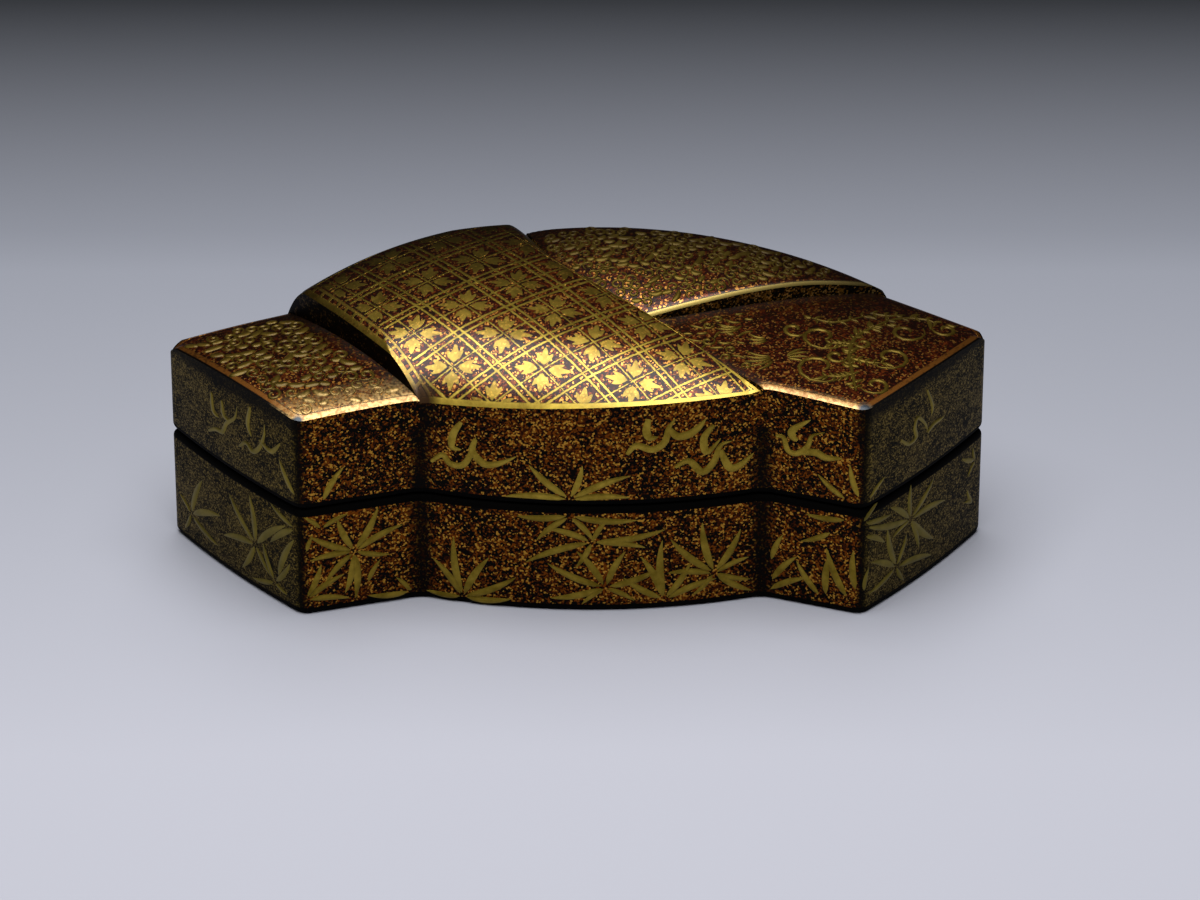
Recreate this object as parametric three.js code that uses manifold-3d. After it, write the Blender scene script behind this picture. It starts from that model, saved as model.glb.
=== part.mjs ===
// Incense box (kogo) in the shape of a folded and knotted letter.
// Lacquered boards: a base with its floor, side boards and raised inner lip, and a lid
// that lifts straight off, with four carved top boards that read as the folds of the letter.
// Millimetres. +X right, +Y back, +Z up. The origin is the middle of the footprint, on the table.
import * as THREE from 'three';
import Module from 'manifold-3d';

const wasm = await Module();
wasm.setup();

// Plan corners of the outside, front corners near y = 0, before the plan is centred.
const TIP_X = 46.8;
const TIP_Y = 18.4;
const LEFT_FRONT = [-31.2, 0.0];
const RIGHT_FRONT = [32.2, 0.0];
const LEFT_VALLEY = [-17.6, 3.9];
const RIGHT_VALLEY = [20.9, 3.9];
const LEFT_BACK = [-33.2, 23.4];
const RIGHT_BACK = [35.4, 25.4];

// How far each side bows outwards at its middle.
const OUTER_END_BOW = 0.65;
const FRONT_BOW = 2.9;
const BACK_BOW = 9.4;

// How far from each corner the rounding of the lacquer starts.
const SHARP_TRIM = 1.5;
const FRONT_TRIM = 1.2;
const VALLEY_TRIM = 1.6;
const BACK_TRIM = 1.0;

// Heights.
const FLOOR_THICK = 2.4;
const SEAM_Z = 13.95;
const SEAM_GAP = 0.1;
const LIP_RISE = 3.2;
const LID_WALL_TOP = 23.0;
const HEADROOM = 12.0;
const BLANK_TOP = LID_WALL_TOP + HEADROOM;

// Wall build-up from the outside in.
const BASE_WALL = 2.4;
const LIP_THICK = 1.1;
const LIP_CLEARANCE = 0.3;
const LID_WALL = BASE_WALL - LIP_CLEARANCE;
const LIP_LEAD = 0.25;

// Worn-round edges, drawn as bevels.
const MOUTH_BEVEL_DEEP = 0.6;
const MOUTH_BEVEL_TALL = 0.85;
const FOOT_BEVEL_DEEP = 0.7;
const FOOT_BEVEL_TALL = 0.9;

// Domes of the four top boards: highest point over the lid's side boards, where it is,
// and how fast it falls away.
const BAND_RISE = 10.65;
const FOLD_RISE = 9.9;
const RIGHT_RISE = 6.85;
const LEFT_RISE = 4.75;
const UNDERSIDE_SHARE = 0.63;
const BAND_DOME = { rise: BAND_RISE, x: -8.5, y: 24.5, across: 100, along: 75, twist: 0.0022 };
const FOLD_DOME = { rise: FOLD_RISE, x: 4.5, y: 27.6, across: 105, along: 25, twist: 0.0036 };
const RIGHT_DOME = { rise: RIGHT_RISE, x: -7.6, y: 28.7, across: 345, along: 124, twist: 0.0029 };
const LEFT_DOME = { rise: LEFT_RISE, x: -21.2, y: 14, across: 155, along: 56, twist: -0.0028 };
const LOWEST_RISE = Math.min(BAND_RISE, FOLD_RISE, RIGHT_RISE, LEFT_RISE);
const UNDERSIDE_DOME = { rise: UNDERSIDE_SHARE * LOWEST_RISE, x: 0, y: 17, across: 420, along: 60, twist: 0 };

// How far each top board rolls down at its edges, and over what width.
const BAND_FRONT_DROP = 3.9;
const BAND_FRONT_ROLL = 8.0;
const BAND_BACK_DROP = 2.4;
const BAND_BACK_ROLL = 2.0;
const BAND_CORNER_DROP = 2.6;
const BAND_CORNER_ROLL = 2.8;
const CORNER_START_SHARE = 0.7;
const BAND_SHOULDER_DROP = 2.4;
const BAND_SHOULDER_ROLL = 2.8;
const FOLD_END_DROP = 0.8;
const FOLD_BACK_DROP = 2.0;
const FOLD_BACK_ROLL = 2.2;
const FOLD_DROP_SHARE = 0.25;
const FOLD_VALLEY_DROP = 0.9;
const FOLD_VALLEY_ROLL = 6.0;
const END_DROP = 0.3;
const END_ROLL = 1.4;
const RIGHT_BACK_DROP = 0.7;
const RIGHT_BACK_ROLL = 1.8;

// Where the folds cross on top, and where the band meets the back edge.
const BAND_RIGHT_LOW = [9.7, 12.7];
const BAND_RIGHT_MID = [1.1, 20.1];
const BAND_RIGHT_HIGH = [-2.8, 25.0];
const FOLD_EDGE_A = [14.0, 17.9];
const FOLD_EDGE_B = [20.0, 20.2];
const FOLD_EDGE_C = [27.0, 22.9];
const BACK_PEAK_SHARE = 0.586;
const FOLD_START_SHARE = 0.333;

// Fineness of the mesh.
const CORNER_STEPS = 3;
const STRAIGHT_STEPS = 2;
const BOWED_STEPS = 4;
const FRONT_STEPS = 14;
const BACK_STEPS = 29;
const LINE_STEPS = 12;
const TOP_GRID = 1.0;
const UNDER_GRID = 3.0;

const LEFT_TIP = [-TIP_X, TIP_Y];
const RIGHT_TIP = [TIP_X, TIP_Y];
const CORNERS = [LEFT_TIP, LEFT_FRONT, LEFT_VALLEY, RIGHT_VALLEY, RIGHT_FRONT, RIGHT_TIP,
  RIGHT_BACK, LEFT_BACK];
const TRIMS = [SHARP_TRIM, FRONT_TRIM, VALLEY_TRIM, VALLEY_TRIM, FRONT_TRIM, SHARP_TRIM,
  BACK_TRIM, BACK_TRIM];
const BOWS = [OUTER_END_BOW, 0, FRONT_BOW, 0, OUTER_END_BOW, 0, BACK_BOW, 0];
const STEPS = [BOWED_STEPS, STRAIGHT_STEPS, FRONT_STEPS, STRAIGHT_STEPS, BOWED_STEPS,
  STRAIGHT_STEPS, BACK_STEPS, STRAIGHT_STEPS];
const SIDE_NAMES = ['left_end', 'left_front', 'front', 'right_front', 'right_end',
  'right_back', 'back', 'left_back'];
const SIDE = Object.fromEntries(SIDE_NAMES.map((name, i) => [name, i]));

const add = (p, q, share) => [p[0] + q[0] * share, p[1] + q[1] * share];
const between = (p, q, share) => [p[0] + (q[0] - p[0]) * share, p[1] + (q[1] - p[1]) * share];
const span = (p, q) => Math.hypot(q[0] - p[0], q[1] - p[1]);

// One side of the plan as an arc: its radius, half angle and frame (radius 0 is a straight side).
function sideArc(from, to, bow) {
  const length = span(from, to);
  const way = [(to[0] - from[0]) / length, (to[1] - from[1]) / length];
  const out = [way[1], -way[0]];
  const radius = bow > 0 ? (length * length / 4 + bow * bow) / (2 * bow) : 0;
  const half = radius > 0 ? Math.asin(length / 2 / radius) : 0;
  return { from, to, way, out, radius, half };
}

function arcPoint(arc, share) {
  if (arc.radius === 0) return between(arc.from, arc.to, share);
  const middle = between(arc.from, arc.to, 0.5);
  const centre = add(middle, arc.out, -arc.radius * Math.cos(arc.half));
  const angle = arc.half * (2 * share - 1);
  return add(add(centre, arc.out, arc.radius * Math.cos(angle)), arc.way, arc.radius * Math.sin(angle));
}

function arcHeading(arc, share) {
  const angle = arc.half * (2 * share - 1);
  return [arc.way[0] * Math.cos(angle) - arc.out[0] * Math.sin(angle),
    arc.way[1] * Math.cos(angle) - arc.out[1] * Math.sin(angle)];
}

const OUTER_ARCS = CORNERS.map((p, i) => sideArc(p, CORNERS[(i + 1) % CORNERS.length], BOWS[i]));

// The corner of a line set in by a distance from the outside.
function insetCorner(i, inset) {
  const before = OUTER_ARCS[(i + CORNERS.length - 1) % CORNERS.length];
  const after = OUTER_ARCS[i];
  const a = arcHeading(before, 1);
  const b = arcHeading(after, 0);
  const cross = a[0] * b[1] - a[1] * b[0];
  const dot = a[0] * b[0] + a[1] * b[1];
  const along = inset * (1 - dot) / cross;
  const left = [-a[1], a[0]];
  return add(add(CORNERS[i], left, inset), a, -along);
}

// All sides of the plan, set in by a distance.
function insetArcs(inset) {
  const points = CORNERS.map((p, i) => insetCorner(i, inset));
  return points.map((p, i) => {
    const q = points[(i + 1) % points.length];
    const radius = OUTER_ARCS[i].radius;
    const length = span(p, q);
    const inner = radius - inset;
    const bow = radius > 0 ? inner - Math.sqrt(inner * inner - length * length / 4) : 0;
    return sideArc(p, q, bow);
  });
}

// Half of a rounded corner, from its middle to the straight part of side i.
function halfCorner(arcs, i, atEnd, stepCount) {
  const here = atEnd ? (i + 1) % arcs.length : i;
  const before = arcs[(here + arcs.length - 1) % arcs.length];
  const after = arcs[here];
  const trim = TRIMS[here];
  const start = arcPoint(before, 1 - trim / span(before.from, before.to));
  const end = arcPoint(after, trim / span(after.from, after.to));
  const corner = after.from;
  const points = [];
  for (let k = 0; k <= stepCount; k += 1) {
    const t = atEnd ? k / (2 * stepCount) : (stepCount + k) / (2 * stepCount);
    const p = add(add([0, 0], start, (1 - t) * (1 - t)), corner, 2 * t * (1 - t));
    points.push(add(p, end, t * t));
  }
  return points;
}

// The points of side i at an inset. Rounded lines stop at the middle of each rounded corner.
function sidePoints(i, inset, rounded) {
  const arcs = insetArcs(inset);
  const arc = arcs[i];
  const total = STEPS[i] + 2 * CORNER_STEPS;
  if (!rounded) {
    const plain = [];
    for (let k = 0; k <= total; k += 1) plain.push(arcPoint(arc, k / total));
    return plain;
  }
  const length = span(arc.from, arc.to);
  const first = TRIMS[i] / length;
  const last = 1 - TRIMS[(i + 1) % arcs.length] / length;
  const points = halfCorner(arcs, i, false, CORNER_STEPS).slice(0, -1);
  for (let k = 0; k <= STEPS[i]; k += 1) points.push(arcPoint(arc, first + (last - first) * k / STEPS[i]));
  return points.concat(halfCorner(arcs, i, true, CORNER_STEPS).slice(1));
}

function ring(inset, rounded) {
  return CORNERS.flatMap((p, i) => sidePoints(i, inset, rounded).slice(0, -1));
}

const OUTLINE_SIDES = CORNERS.map((p, i) => sidePoints(i, 0, true));
const OUTLINE = ring(0, true);
const MID_X = (Math.min(...OUTLINE.map(p => p[0])) + Math.max(...OUTLINE.map(p => p[0]))) / 2;
const MID_Y = (Math.min(...OUTLINE.map(p => p[1])) + Math.max(...OUTLINE.map(p => p[1]))) / 2;

// Mesh helpers.
function geometryOf(points, faces) {
  const g = new THREE.BufferGeometry();
  g.setAttribute('position', new THREE.Float32BufferAttribute(points.flat(), 3));
  g.setIndex(faces.flat());
  return g;
}

// One board: a section (inset, height) carried along side i of the plan, closed at both ends.
function boardAlongSide(i, section) {
  const lines = section.map(s => sidePoints(i, s.inset, s.rounded).map(p => [p[0], p[1], s.z]));
  const count = lines[0].length;
  const points = lines.flat();
  const faces = [];
  for (let s = 0; s < lines.length; s += 1) {
    const here = s * count;
    const next = ((s + 1) % lines.length) * count;
    for (let k = 0; k < count - 1; k += 1) {
      faces.push([here + k, next + k + 1, here + k + 1]);
      faces.push([here + k, next + k, next + k + 1]);
    }
  }
  for (let s = 1; s < lines.length - 1; s += 1) {
    faces.push([0, (s + 1) * count, s * count]);
    faces.push([count - 1, s * count + count - 1, (s + 1) * count + count - 1]);
  }
  return geometryOf(points, faces);
}

function plate(outline, low, high) {
  const shape = new THREE.Shape(outline.map(p => new THREE.Vector2(p[0], p[1])));
  const g = new THREE.ExtrudeGeometry(shape, { depth: high - low, bevelEnabled: false, steps: 1 });
  g.translate(0, 0, low);
  return g;
}

function merged(geometry) {
  const index = new Map();
  const points = [];
  const position = geometry.getAttribute('position');
  const order = geometry.index ? Array.from(geometry.index.array) : [...Array(position.count).keys()];
  const renamed = [];
  for (let k = 0; k < position.count; k += 1) {
    const p = [position.getX(k), position.getY(k), position.getZ(k)];
    const key = p.map(v => Math.round(v * 10000)).join(',');
    if (!index.has(key)) {
      index.set(key, points.length);
      points.push(p);
    }
    renamed.push(index.get(key));
  }
  return { points, tris: order.map(k => renamed[k]) };
}

function solidOf(geometry) {
  const { points, tris } = merged(geometry);
  return new wasm.Manifold(new wasm.Mesh({ numProp: 3, vertProperties: new Float32Array(points.flat()),
    triVerts: new Uint32Array(tris) }));
}

function geometryFrom(solid) {
  const mesh = solid.getMesh();
  const g = new THREE.BufferGeometry();
  g.setAttribute('position', new THREE.Float32BufferAttribute(mesh.vertProperties, 3));
  g.setIndex(Array.from(mesh.triVerts));
  return g;
}

// A block over the whole plan whose upper face follows a height function.
function blockUnder(height, low, grid) {
  const margin = 2 * grid;
  const x0 = -TIP_X - margin;
  const y0 = -margin;
  const columns = Math.ceil((2 * TIP_X + 2 * margin) / grid);
  const rows = Math.ceil((LEFT_BACK[1] + BACK_BOW + 2 * margin + BACK_TRIM) / grid) + 1;
  const points = [];
  const faces = [];
  const at = (c, r, top) => 2 * (r * (columns + 1) + c) + top;
  for (let r = 0; r <= rows; r += 1) {
    for (let c = 0; c <= columns; c += 1) {
      const x = x0 + c * grid;
      const y = y0 + r * grid;
      points.push([x, y, low]);
      points.push([x, y, height(x, y)]);
    }
  }
  for (let r = 0; r < rows; r += 1) {
    for (let c = 0; c < columns; c += 1) {
      faces.push([at(c, r, 1), at(c + 1, r, 1), at(c + 1, r + 1, 1)]);
      faces.push([at(c, r, 1), at(c + 1, r + 1, 1), at(c, r + 1, 1)]);
      faces.push([at(c, r, 0), at(c + 1, r + 1, 0), at(c + 1, r, 0)]);
      faces.push([at(c, r, 0), at(c, r + 1, 0), at(c + 1, r + 1, 0)]);
    }
  }
  for (let c = 0; c < columns; c += 1) {
    faces.push([at(c, 0, 0), at(c + 1, 0, 0), at(c + 1, 0, 1)]);
    faces.push([at(c, 0, 0), at(c + 1, 0, 1), at(c, 0, 1)]);
    faces.push([at(c, rows, 0), at(c + 1, rows, 1), at(c + 1, rows, 0)]);
    faces.push([at(c, rows, 0), at(c, rows, 1), at(c + 1, rows, 1)]);
  }
  for (let r = 0; r < rows; r += 1) {
    faces.push([at(0, r, 0), at(0, r + 1, 1), at(0, r + 1, 0)]);
    faces.push([at(0, r, 0), at(0, r, 1), at(0, r + 1, 1)]);
    faces.push([at(columns, r, 0), at(columns, r + 1, 0), at(columns, r + 1, 1)]);
    faces.push([at(columns, r, 0), at(columns, r + 1, 1), at(columns, r, 1)]);
  }
  return solidOf(geometryOf(points, faces));
}

// Height of a dome before its edge rolls down.
function domeHeight(dome, x, y) {
  const dx = x - dome.x;
  const dy = y - dome.y;
  const fall = dx * dx / (2 * dome.across) + dy * dy / (2 * dome.along) + dome.twist * dx * dy;
  return LID_WALL_TOP + dome.rise - fall;
}

// Nearest place on a line: how far in it is, and its share along the line.
function nearLine(line, x, y) {
  let best = { gap: Infinity, share: 0 };
  for (let k = 0; k < line.length - 1; k += 1) {
    const p = line[k];
    const q = line[k + 1];
    const length = span(p, q);
    const way = [(q[0] - p[0]) / length, (q[1] - p[1]) / length];
    const along = Math.min(length, Math.max(0, (x - p[0]) * way[0] + (y - p[1]) * way[1]));
    const foot = add(p, way, along);
    const outside = (x - foot[0]) * way[1] - (y - foot[1]) * way[0] > 0;
    const gap = Math.hypot(x - foot[0], y - foot[1]);
    const share = (k + along / length) / (line.length - 1);
    if (gap < Math.abs(best.gap)) best = { gap: outside ? -gap : gap, share };
  }
  return best;
}

// The drop towards the edges: 1 at the edge, 0 from the roll's width inwards.
function rollShare(gap, width) {
  const t = Math.min(1, gap / width);
  return (1 - t) * (1 - t);
}

// Height of a top board: its dome, less the largest drop of its rolled edges.
function topHeight(dome, edges) {
  return (x, y) => {
    let drop = 0;
    for (const edge of edges) {
      const near = nearLine(edge.line, x, y);
      drop = Math.max(drop, edge.drop(near.share) * rollShare(near.gap, edge.width(near.share)));
    }
    return domeHeight(dome, x, y) - drop;
  };
}

// The lines where the top boards meet.
const LEFT_CORNER = OUTLINE_SIDES[SIDE.left_back][0];
const LEFT_VALLEY_MID = OUTLINE_SIDES[SIDE.front][0];
const RIGHT_VALLEY_MID = OUTLINE_SIDES[SIDE.right_front][0];
const RIGHT_CORNER = OUTLINE_SIDES[SIDE.back][0];
const PEAK_INDEX = Math.round(BACK_PEAK_SHARE * (OUTLINE_SIDES[SIDE.back].length - 1));
const PEAK = OUTLINE_SIDES[SIDE.back][PEAK_INDEX];

function smoothLine(points) {
  const curve = new THREE.SplineCurve(points.map(p => new THREE.Vector2(p[0], p[1])));
  return curve.getPoints(LINE_STEPS).map(p => [p.x, p.y]);
}

const BAND_RIGHT = smoothLine([RIGHT_VALLEY_MID, BAND_RIGHT_LOW, BAND_RIGHT_MID, BAND_RIGHT_HIGH, PEAK]);
const FOLD_START = Math.round(FOLD_START_SHARE * LINE_STEPS);
const FOLD_EDGE = smoothLine([BAND_RIGHT[FOLD_START], FOLD_EDGE_A, FOLD_EDGE_B, FOLD_EDGE_C, RIGHT_CORNER]);

const sides = (...list) => list.flatMap(i => OUTLINE_SIDES[i].slice(0, -1));
const LEFT_REGION = [...sides(SIDE.left_back, SIDE.left_end, SIDE.left_front), LEFT_VALLEY_MID];
const BAND_REGION = [...sides(SIDE.front), ...BAND_RIGHT, ...OUTLINE_SIDES[SIDE.back].slice(PEAK_INDEX + 1)];
const RIGHT_REGION = [...sides(SIDE.right_front, SIDE.right_end, SIDE.right_back),
  ...FOLD_EDGE.slice(1).reverse(), ...BAND_RIGHT.slice(1, FOLD_START + 1).reverse()];
const FOLD_REGION = [...FOLD_EDGE, ...OUTLINE_SIDES[SIDE.back].slice(1, PEAK_INDEX + 1),
  ...BAND_RIGHT.slice(FOLD_START + 1, -1).reverse()];

// How each rolled edge drops, and how wide it is, by the share along its line.
const steady = amount => () => amount;
const towardsCorner = share => Math.max(0, (share - CORNER_START_SHARE) / (1 - CORNER_START_SHARE));
const bandFront = { line: OUTLINE_SIDES[SIDE.front], drop: share => BAND_FRONT_DROP * (1 - share * share),
  width: steady(BAND_FRONT_ROLL) };
const bandBack = { line: OUTLINE_SIDES[SIDE.back],
  drop: share => BAND_BACK_DROP + BAND_CORNER_DROP * towardsCorner(share),
  width: share => BAND_BACK_ROLL + BAND_CORNER_ROLL * towardsCorner(share) };
const bandShoulder = { line: BAND_RIGHT, drop: share => BAND_SHOULDER_DROP * share ** 4,
  width: share => END_ROLL + BAND_SHOULDER_ROLL * share ** 3 };
const foldBack = { line: OUTLINE_SIDES[SIDE.back],
  drop: share => FOLD_END_DROP + (FOLD_BACK_DROP - FOLD_END_DROP) * Math.min(1, share / FOLD_DROP_SHARE),
  width: steady(FOLD_BACK_ROLL) };
const foldValley = { line: BAND_RIGHT.slice().reverse(),
  drop: share => FOLD_VALLEY_DROP * (1 - share) ** 3, width: steady(FOLD_VALLEY_ROLL) };
const endEdge = side => ({ line: OUTLINE_SIDES[SIDE[side]], drop: steady(END_DROP),
  width: steady(END_ROLL) });
const rightBack = { line: OUTLINE_SIDES[SIDE.right_back], drop: steady(RIGHT_BACK_DROP),
  width: steady(RIGHT_BACK_ROLL) };

const HOLLOW = solidOf(plate(ring(LID_WALL, false), FLOOR_THICK, BLANK_TOP))
  .intersect(blockUnder((x, y) => domeHeight(UNDERSIDE_DOME, x, y), FLOOR_THICK, UNDER_GRID));

function topBoard(region, dome, edges) {
  const board = solidOf(plate(region, LID_WALL_TOP, BLANK_TOP));
  const shaped = board.intersect(blockUnder(topHeight(dome, edges), 0, TOP_GRID));
  return geometryFrom(shaped.subtract(HOLLOW));
}

// The assembly.
const group = new THREE.Group();
group.name = 'incense_box';

const LACQUER = { wall: 0x4a3018, inside: 0x2a1c10, band: 0x9a8338, fold: 0x6a4a22, end: 0x6a4a22 };

function put(name, geometry, colour) {
  geometry.translate(-MID_X, -MID_Y, 0);
  const mesh = new THREE.Mesh(geometry, new THREE.MeshStandardMaterial({ color: colour, roughness: 0.35 }));
  mesh.name = name;
  group.add(mesh);
}

// Base: floor board, side boards, and the thin lining that stands up as the lip.
put('base_floor', plate(ring(BASE_WALL, false), 0, FLOOR_THICK), LACQUER.inside);

const BASE_SECTION = [
  { inset: FOOT_BEVEL_DEEP, z: 0, rounded: true },
  { inset: BASE_WALL, z: 0, rounded: false },
  { inset: BASE_WALL, z: SEAM_Z, rounded: false },
  { inset: MOUTH_BEVEL_DEEP, z: SEAM_Z, rounded: true },
  { inset: 0, z: SEAM_Z - MOUTH_BEVEL_TALL, rounded: true },
  { inset: 0, z: FOOT_BEVEL_TALL, rounded: true },
];
const LIP_SECTION = [
  { inset: BASE_WALL, z: FLOOR_THICK, rounded: false },
  { inset: BASE_WALL + LIP_THICK, z: FLOOR_THICK, rounded: false },
  { inset: BASE_WALL + LIP_THICK, z: SEAM_Z + LIP_RISE, rounded: false },
  { inset: BASE_WALL + LIP_LEAD, z: SEAM_Z + LIP_RISE, rounded: false },
  { inset: BASE_WALL, z: SEAM_Z + LIP_RISE - LIP_LEAD, rounded: false },
];
const LID_SECTION = [
  { inset: MOUTH_BEVEL_DEEP, z: SEAM_Z + SEAM_GAP, rounded: true },
  { inset: LID_WALL, z: SEAM_Z + SEAM_GAP, rounded: false },
  { inset: LID_WALL, z: LID_WALL_TOP, rounded: false },
  { inset: 0, z: LID_WALL_TOP, rounded: true },
  { inset: 0, z: SEAM_Z + SEAM_GAP + MOUTH_BEVEL_TALL, rounded: true },
];
SIDE_NAMES.forEach((side, i) => {
  put(`base_wall_${side}`, boardAlongSide(i, BASE_SECTION), LACQUER.wall);
  put(`lip_${side}`, boardAlongSide(i, LIP_SECTION), LACQUER.inside);
  put(`lid_wall_${side}`, boardAlongSide(i, LID_SECTION), LACQUER.wall);
});

// Lid top: the two ends of the letter, the fold behind, and the band that binds them.
put('lid_top_left_end', topBoard(LEFT_REGION, LEFT_DOME,
  [endEdge('left_back'), endEdge('left_end'), endEdge('left_front')]), LACQUER.end);
put('lid_top_right_end', topBoard(RIGHT_REGION, RIGHT_DOME,
  [endEdge('right_front'), endEdge('right_end'), rightBack]), LACQUER.end);
put('lid_top_back_fold', topBoard(FOLD_REGION, FOLD_DOME, [foldBack, foldValley]), LACQUER.fold);
put('lid_top_band', topBoard(BAND_REGION, BAND_DOME, [bandFront, bandBack, bandShoulder]), LACQUER.band);

export default group;
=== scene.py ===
# Incense box in the shape of a folded and knotted letter: gold-sprinkled lacquer with raised
# gold ornament on a wood core. The file follows the box from the base up to the lid's top. Where a
# comment says how something was made or how it wore, that is a reading of one photograph, and it
# doesn't show the back or the inside. Light and shade are painted into some colours: painted shade
# in the valleys, steps, seam and foot, under the end edges, on the cut ends, in the darker relief
# tones, towards the back of the tops and behind the box on the table, and painted highlights along
# some front edges.
import math
import bpy
import mathutils
import numpy as np
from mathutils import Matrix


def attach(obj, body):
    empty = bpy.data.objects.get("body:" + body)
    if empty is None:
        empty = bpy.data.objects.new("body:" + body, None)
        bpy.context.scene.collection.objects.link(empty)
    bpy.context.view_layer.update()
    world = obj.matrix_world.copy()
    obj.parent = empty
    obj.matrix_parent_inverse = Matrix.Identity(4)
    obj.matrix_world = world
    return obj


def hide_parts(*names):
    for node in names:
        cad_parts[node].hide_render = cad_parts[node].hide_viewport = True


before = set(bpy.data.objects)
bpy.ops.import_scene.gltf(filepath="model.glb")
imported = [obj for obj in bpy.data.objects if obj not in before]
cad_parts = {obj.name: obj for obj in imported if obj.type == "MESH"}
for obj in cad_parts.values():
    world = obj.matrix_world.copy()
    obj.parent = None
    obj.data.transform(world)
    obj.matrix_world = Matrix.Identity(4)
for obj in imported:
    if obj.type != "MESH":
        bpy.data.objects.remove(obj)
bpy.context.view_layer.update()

# Base: thin boards glued at the corners, under one lacquer skin. In plan the box is a strip with two
# cut ends, a bowed side in front between two valleys, and a long bowed side behind. The lacquer
# rounds the corners, the foot and the mouth. Lengths are millimetres, with x from the middle and y
# from the two front corners. Sides and corners run round from the left tip: a corner's trim is
# where its rounding starts, and a side's bow is how far its middle bulges.
MM = 0.001
TIP_X, TIP_Y = 46.8, 18.4
CORNERS = np.array([[-TIP_X, TIP_Y], [-31.2, 0.0], [-17.6, 3.9], [20.9, 3.9], [32.2, 0.0],
                    [TIP_X, TIP_Y], [35.4, 25.4], [-33.2, 23.4]])
TRIMS = [1.5, 1.2, 1.6, 1.6, 1.2, 1.5, 1.0, 1.0]
BOWS = [0.65, 0.0, 2.9, 0.0, 0.65, 0.0, 9.4, 0.0]
SIDES = ["left_end", "left_front", "front", "right_front", "right_end", "right_back", "back", "left_back"]
LEFT_END, LEFT_FRONT, FRONT, RIGHT_FRONT, RIGHT_END, RIGHT_BACK, BACK, LEFT_BACK = range(8)
SIDE_STEPS = [36, 22, 60, 18, 36, 22, 110, 22]
CORNER_STEPS = 7
BASE_WALL, SEAM_Z, FLOOR_THICK = 2.4, 13.95, 2.4
MOUTH_DEEP, MOUTH_TALL = 0.6, 0.85
FOOT_DEEP, FOOT_TALL = 0.7, 0.9
ROUND_STEPS = 6


def side_arc(start, end, bow):
    """Arc from start to end that bulges by bow to the right of its way; bow 0 is a straight line."""
    length = np.linalg.norm(end - start)
    way = (end - start) / length
    out = np.array([way[1], -way[0]])
    radius = (length ** 2 / 4 + bow ** 2) / (2 * bow) if bow > 0 else 0.0
    half = math.asin(length / 2 / radius) if bow > 0 else 0.0
    return start, end, way, out, radius, half


def along_arc(arc, share):
    """Points of an arc at shares of its length from 0 to 1."""
    start, end, way, out, radius, half = arc
    share = np.atleast_1d(np.asarray(share, float))[:, None]
    if radius == 0:
        return start + (end - start) * share
    centre = (start + end) / 2 - out * radius * math.cos(half)
    angle = half * (2 * share - 1)
    return centre + out * radius * np.cos(angle) + way * radius * np.sin(angle)


def heading(arc, share):
    """Direction of an arc at a share of its length."""
    angle = arc[5] * (2 * share - 1)
    return arc[2] * math.cos(angle) - arc[3] * math.sin(angle)


OUTER_ARCS = [side_arc(CORNERS[i], CORNERS[(i + 1) % 8], BOWS[i]) for i in range(8)]


def inset_arcs(inset):
    """The eight sides set in by a distance: each corner moves to where the two set-in sides meet."""
    points = []
    for i in range(8):
        a = heading(OUTER_ARCS[i - 1], 1.0)
        b = heading(OUTER_ARCS[i], 0.0)
        along = inset * (1 - a @ b) / (a[0] * b[1] - a[1] * b[0])
        points.append(CORNERS[i] + np.array([-a[1], a[0]]) * inset - a * along)
    arcs = []
    for i in range(8):
        p, q = points[i], points[(i + 1) % 8]
        radius = OUTER_ARCS[i][4]
        inner = radius - inset
        bow = inner - math.sqrt(inner ** 2 - np.sum((q - p) ** 2) / 4) if radius > 0 else 0.0
        arcs.append(side_arc(p, q, bow))
    return arcs


def side_line(i, inset=0.0):
    """Side i at an inset, from the middle of one rounded corner to the middle of the next.
    A corner is a quadratic curve that starts a trim length before the corner point."""
    arcs = inset_arcs(inset)

    def half_corner(k, second):
        before, after = arcs[k - 1], arcs[k]
        start = along_arc(before, 1 - TRIMS[k] / np.linalg.norm(before[1] - before[0]))[0]
        end = along_arc(after, TRIMS[k] / np.linalg.norm(after[1] - after[0]))[0]
        t = np.linspace(0.5 if second else 0.0, 1.0 if second else 0.5, CORNER_STEPS + 1)[:, None]
        return start * (1 - t) ** 2 + after[0] * 2 * t * (1 - t) + end * t ** 2

    length = np.linalg.norm(arcs[i][1] - arcs[i][0])
    first = TRIMS[i] / length
    last = 1 - TRIMS[(i + 1) % 8] / length
    middle = along_arc(arcs[i], np.linspace(first, last, SIDE_STEPS[i] + 1))
    return np.vstack([half_corner(i, True)[:-1], middle, half_corner((i + 1) % 8, False)[1:]])


OUTLINE_SIDES = [side_line(i) for i in range(8)]
OUTLINE = np.vstack([s[:-1] for s in OUTLINE_SIDES])
PLAN_MIDDLE = (OUTLINE.min(0) + OUTLINE.max(0)) / 2


def ring(inset, height):
    """One closed line round the box at an inset and a height."""
    flat = np.vstack([side_line(i, inset)[:-1] for i in range(8)])
    return np.c_[flat - PLAN_MIDDLE, np.full(len(flat), height)]


def grid_faces(rows, columns, wrap_rows=False, wrap_columns=False, first=0):
    """Quads between the points of a grid that is stored row by row."""
    r = np.arange(rows if wrap_rows else rows - 1)[:, None]
    c = np.arange(columns if wrap_columns else columns - 1)[None, :]
    r2, c2 = (r + 1) % rows, (c + 1) % columns
    quads = np.stack([r * columns + c, r * columns + c2, r2 * columns + c2, r2 * columns + c], -1)
    return quads.reshape(-1, 4) + first


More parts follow.
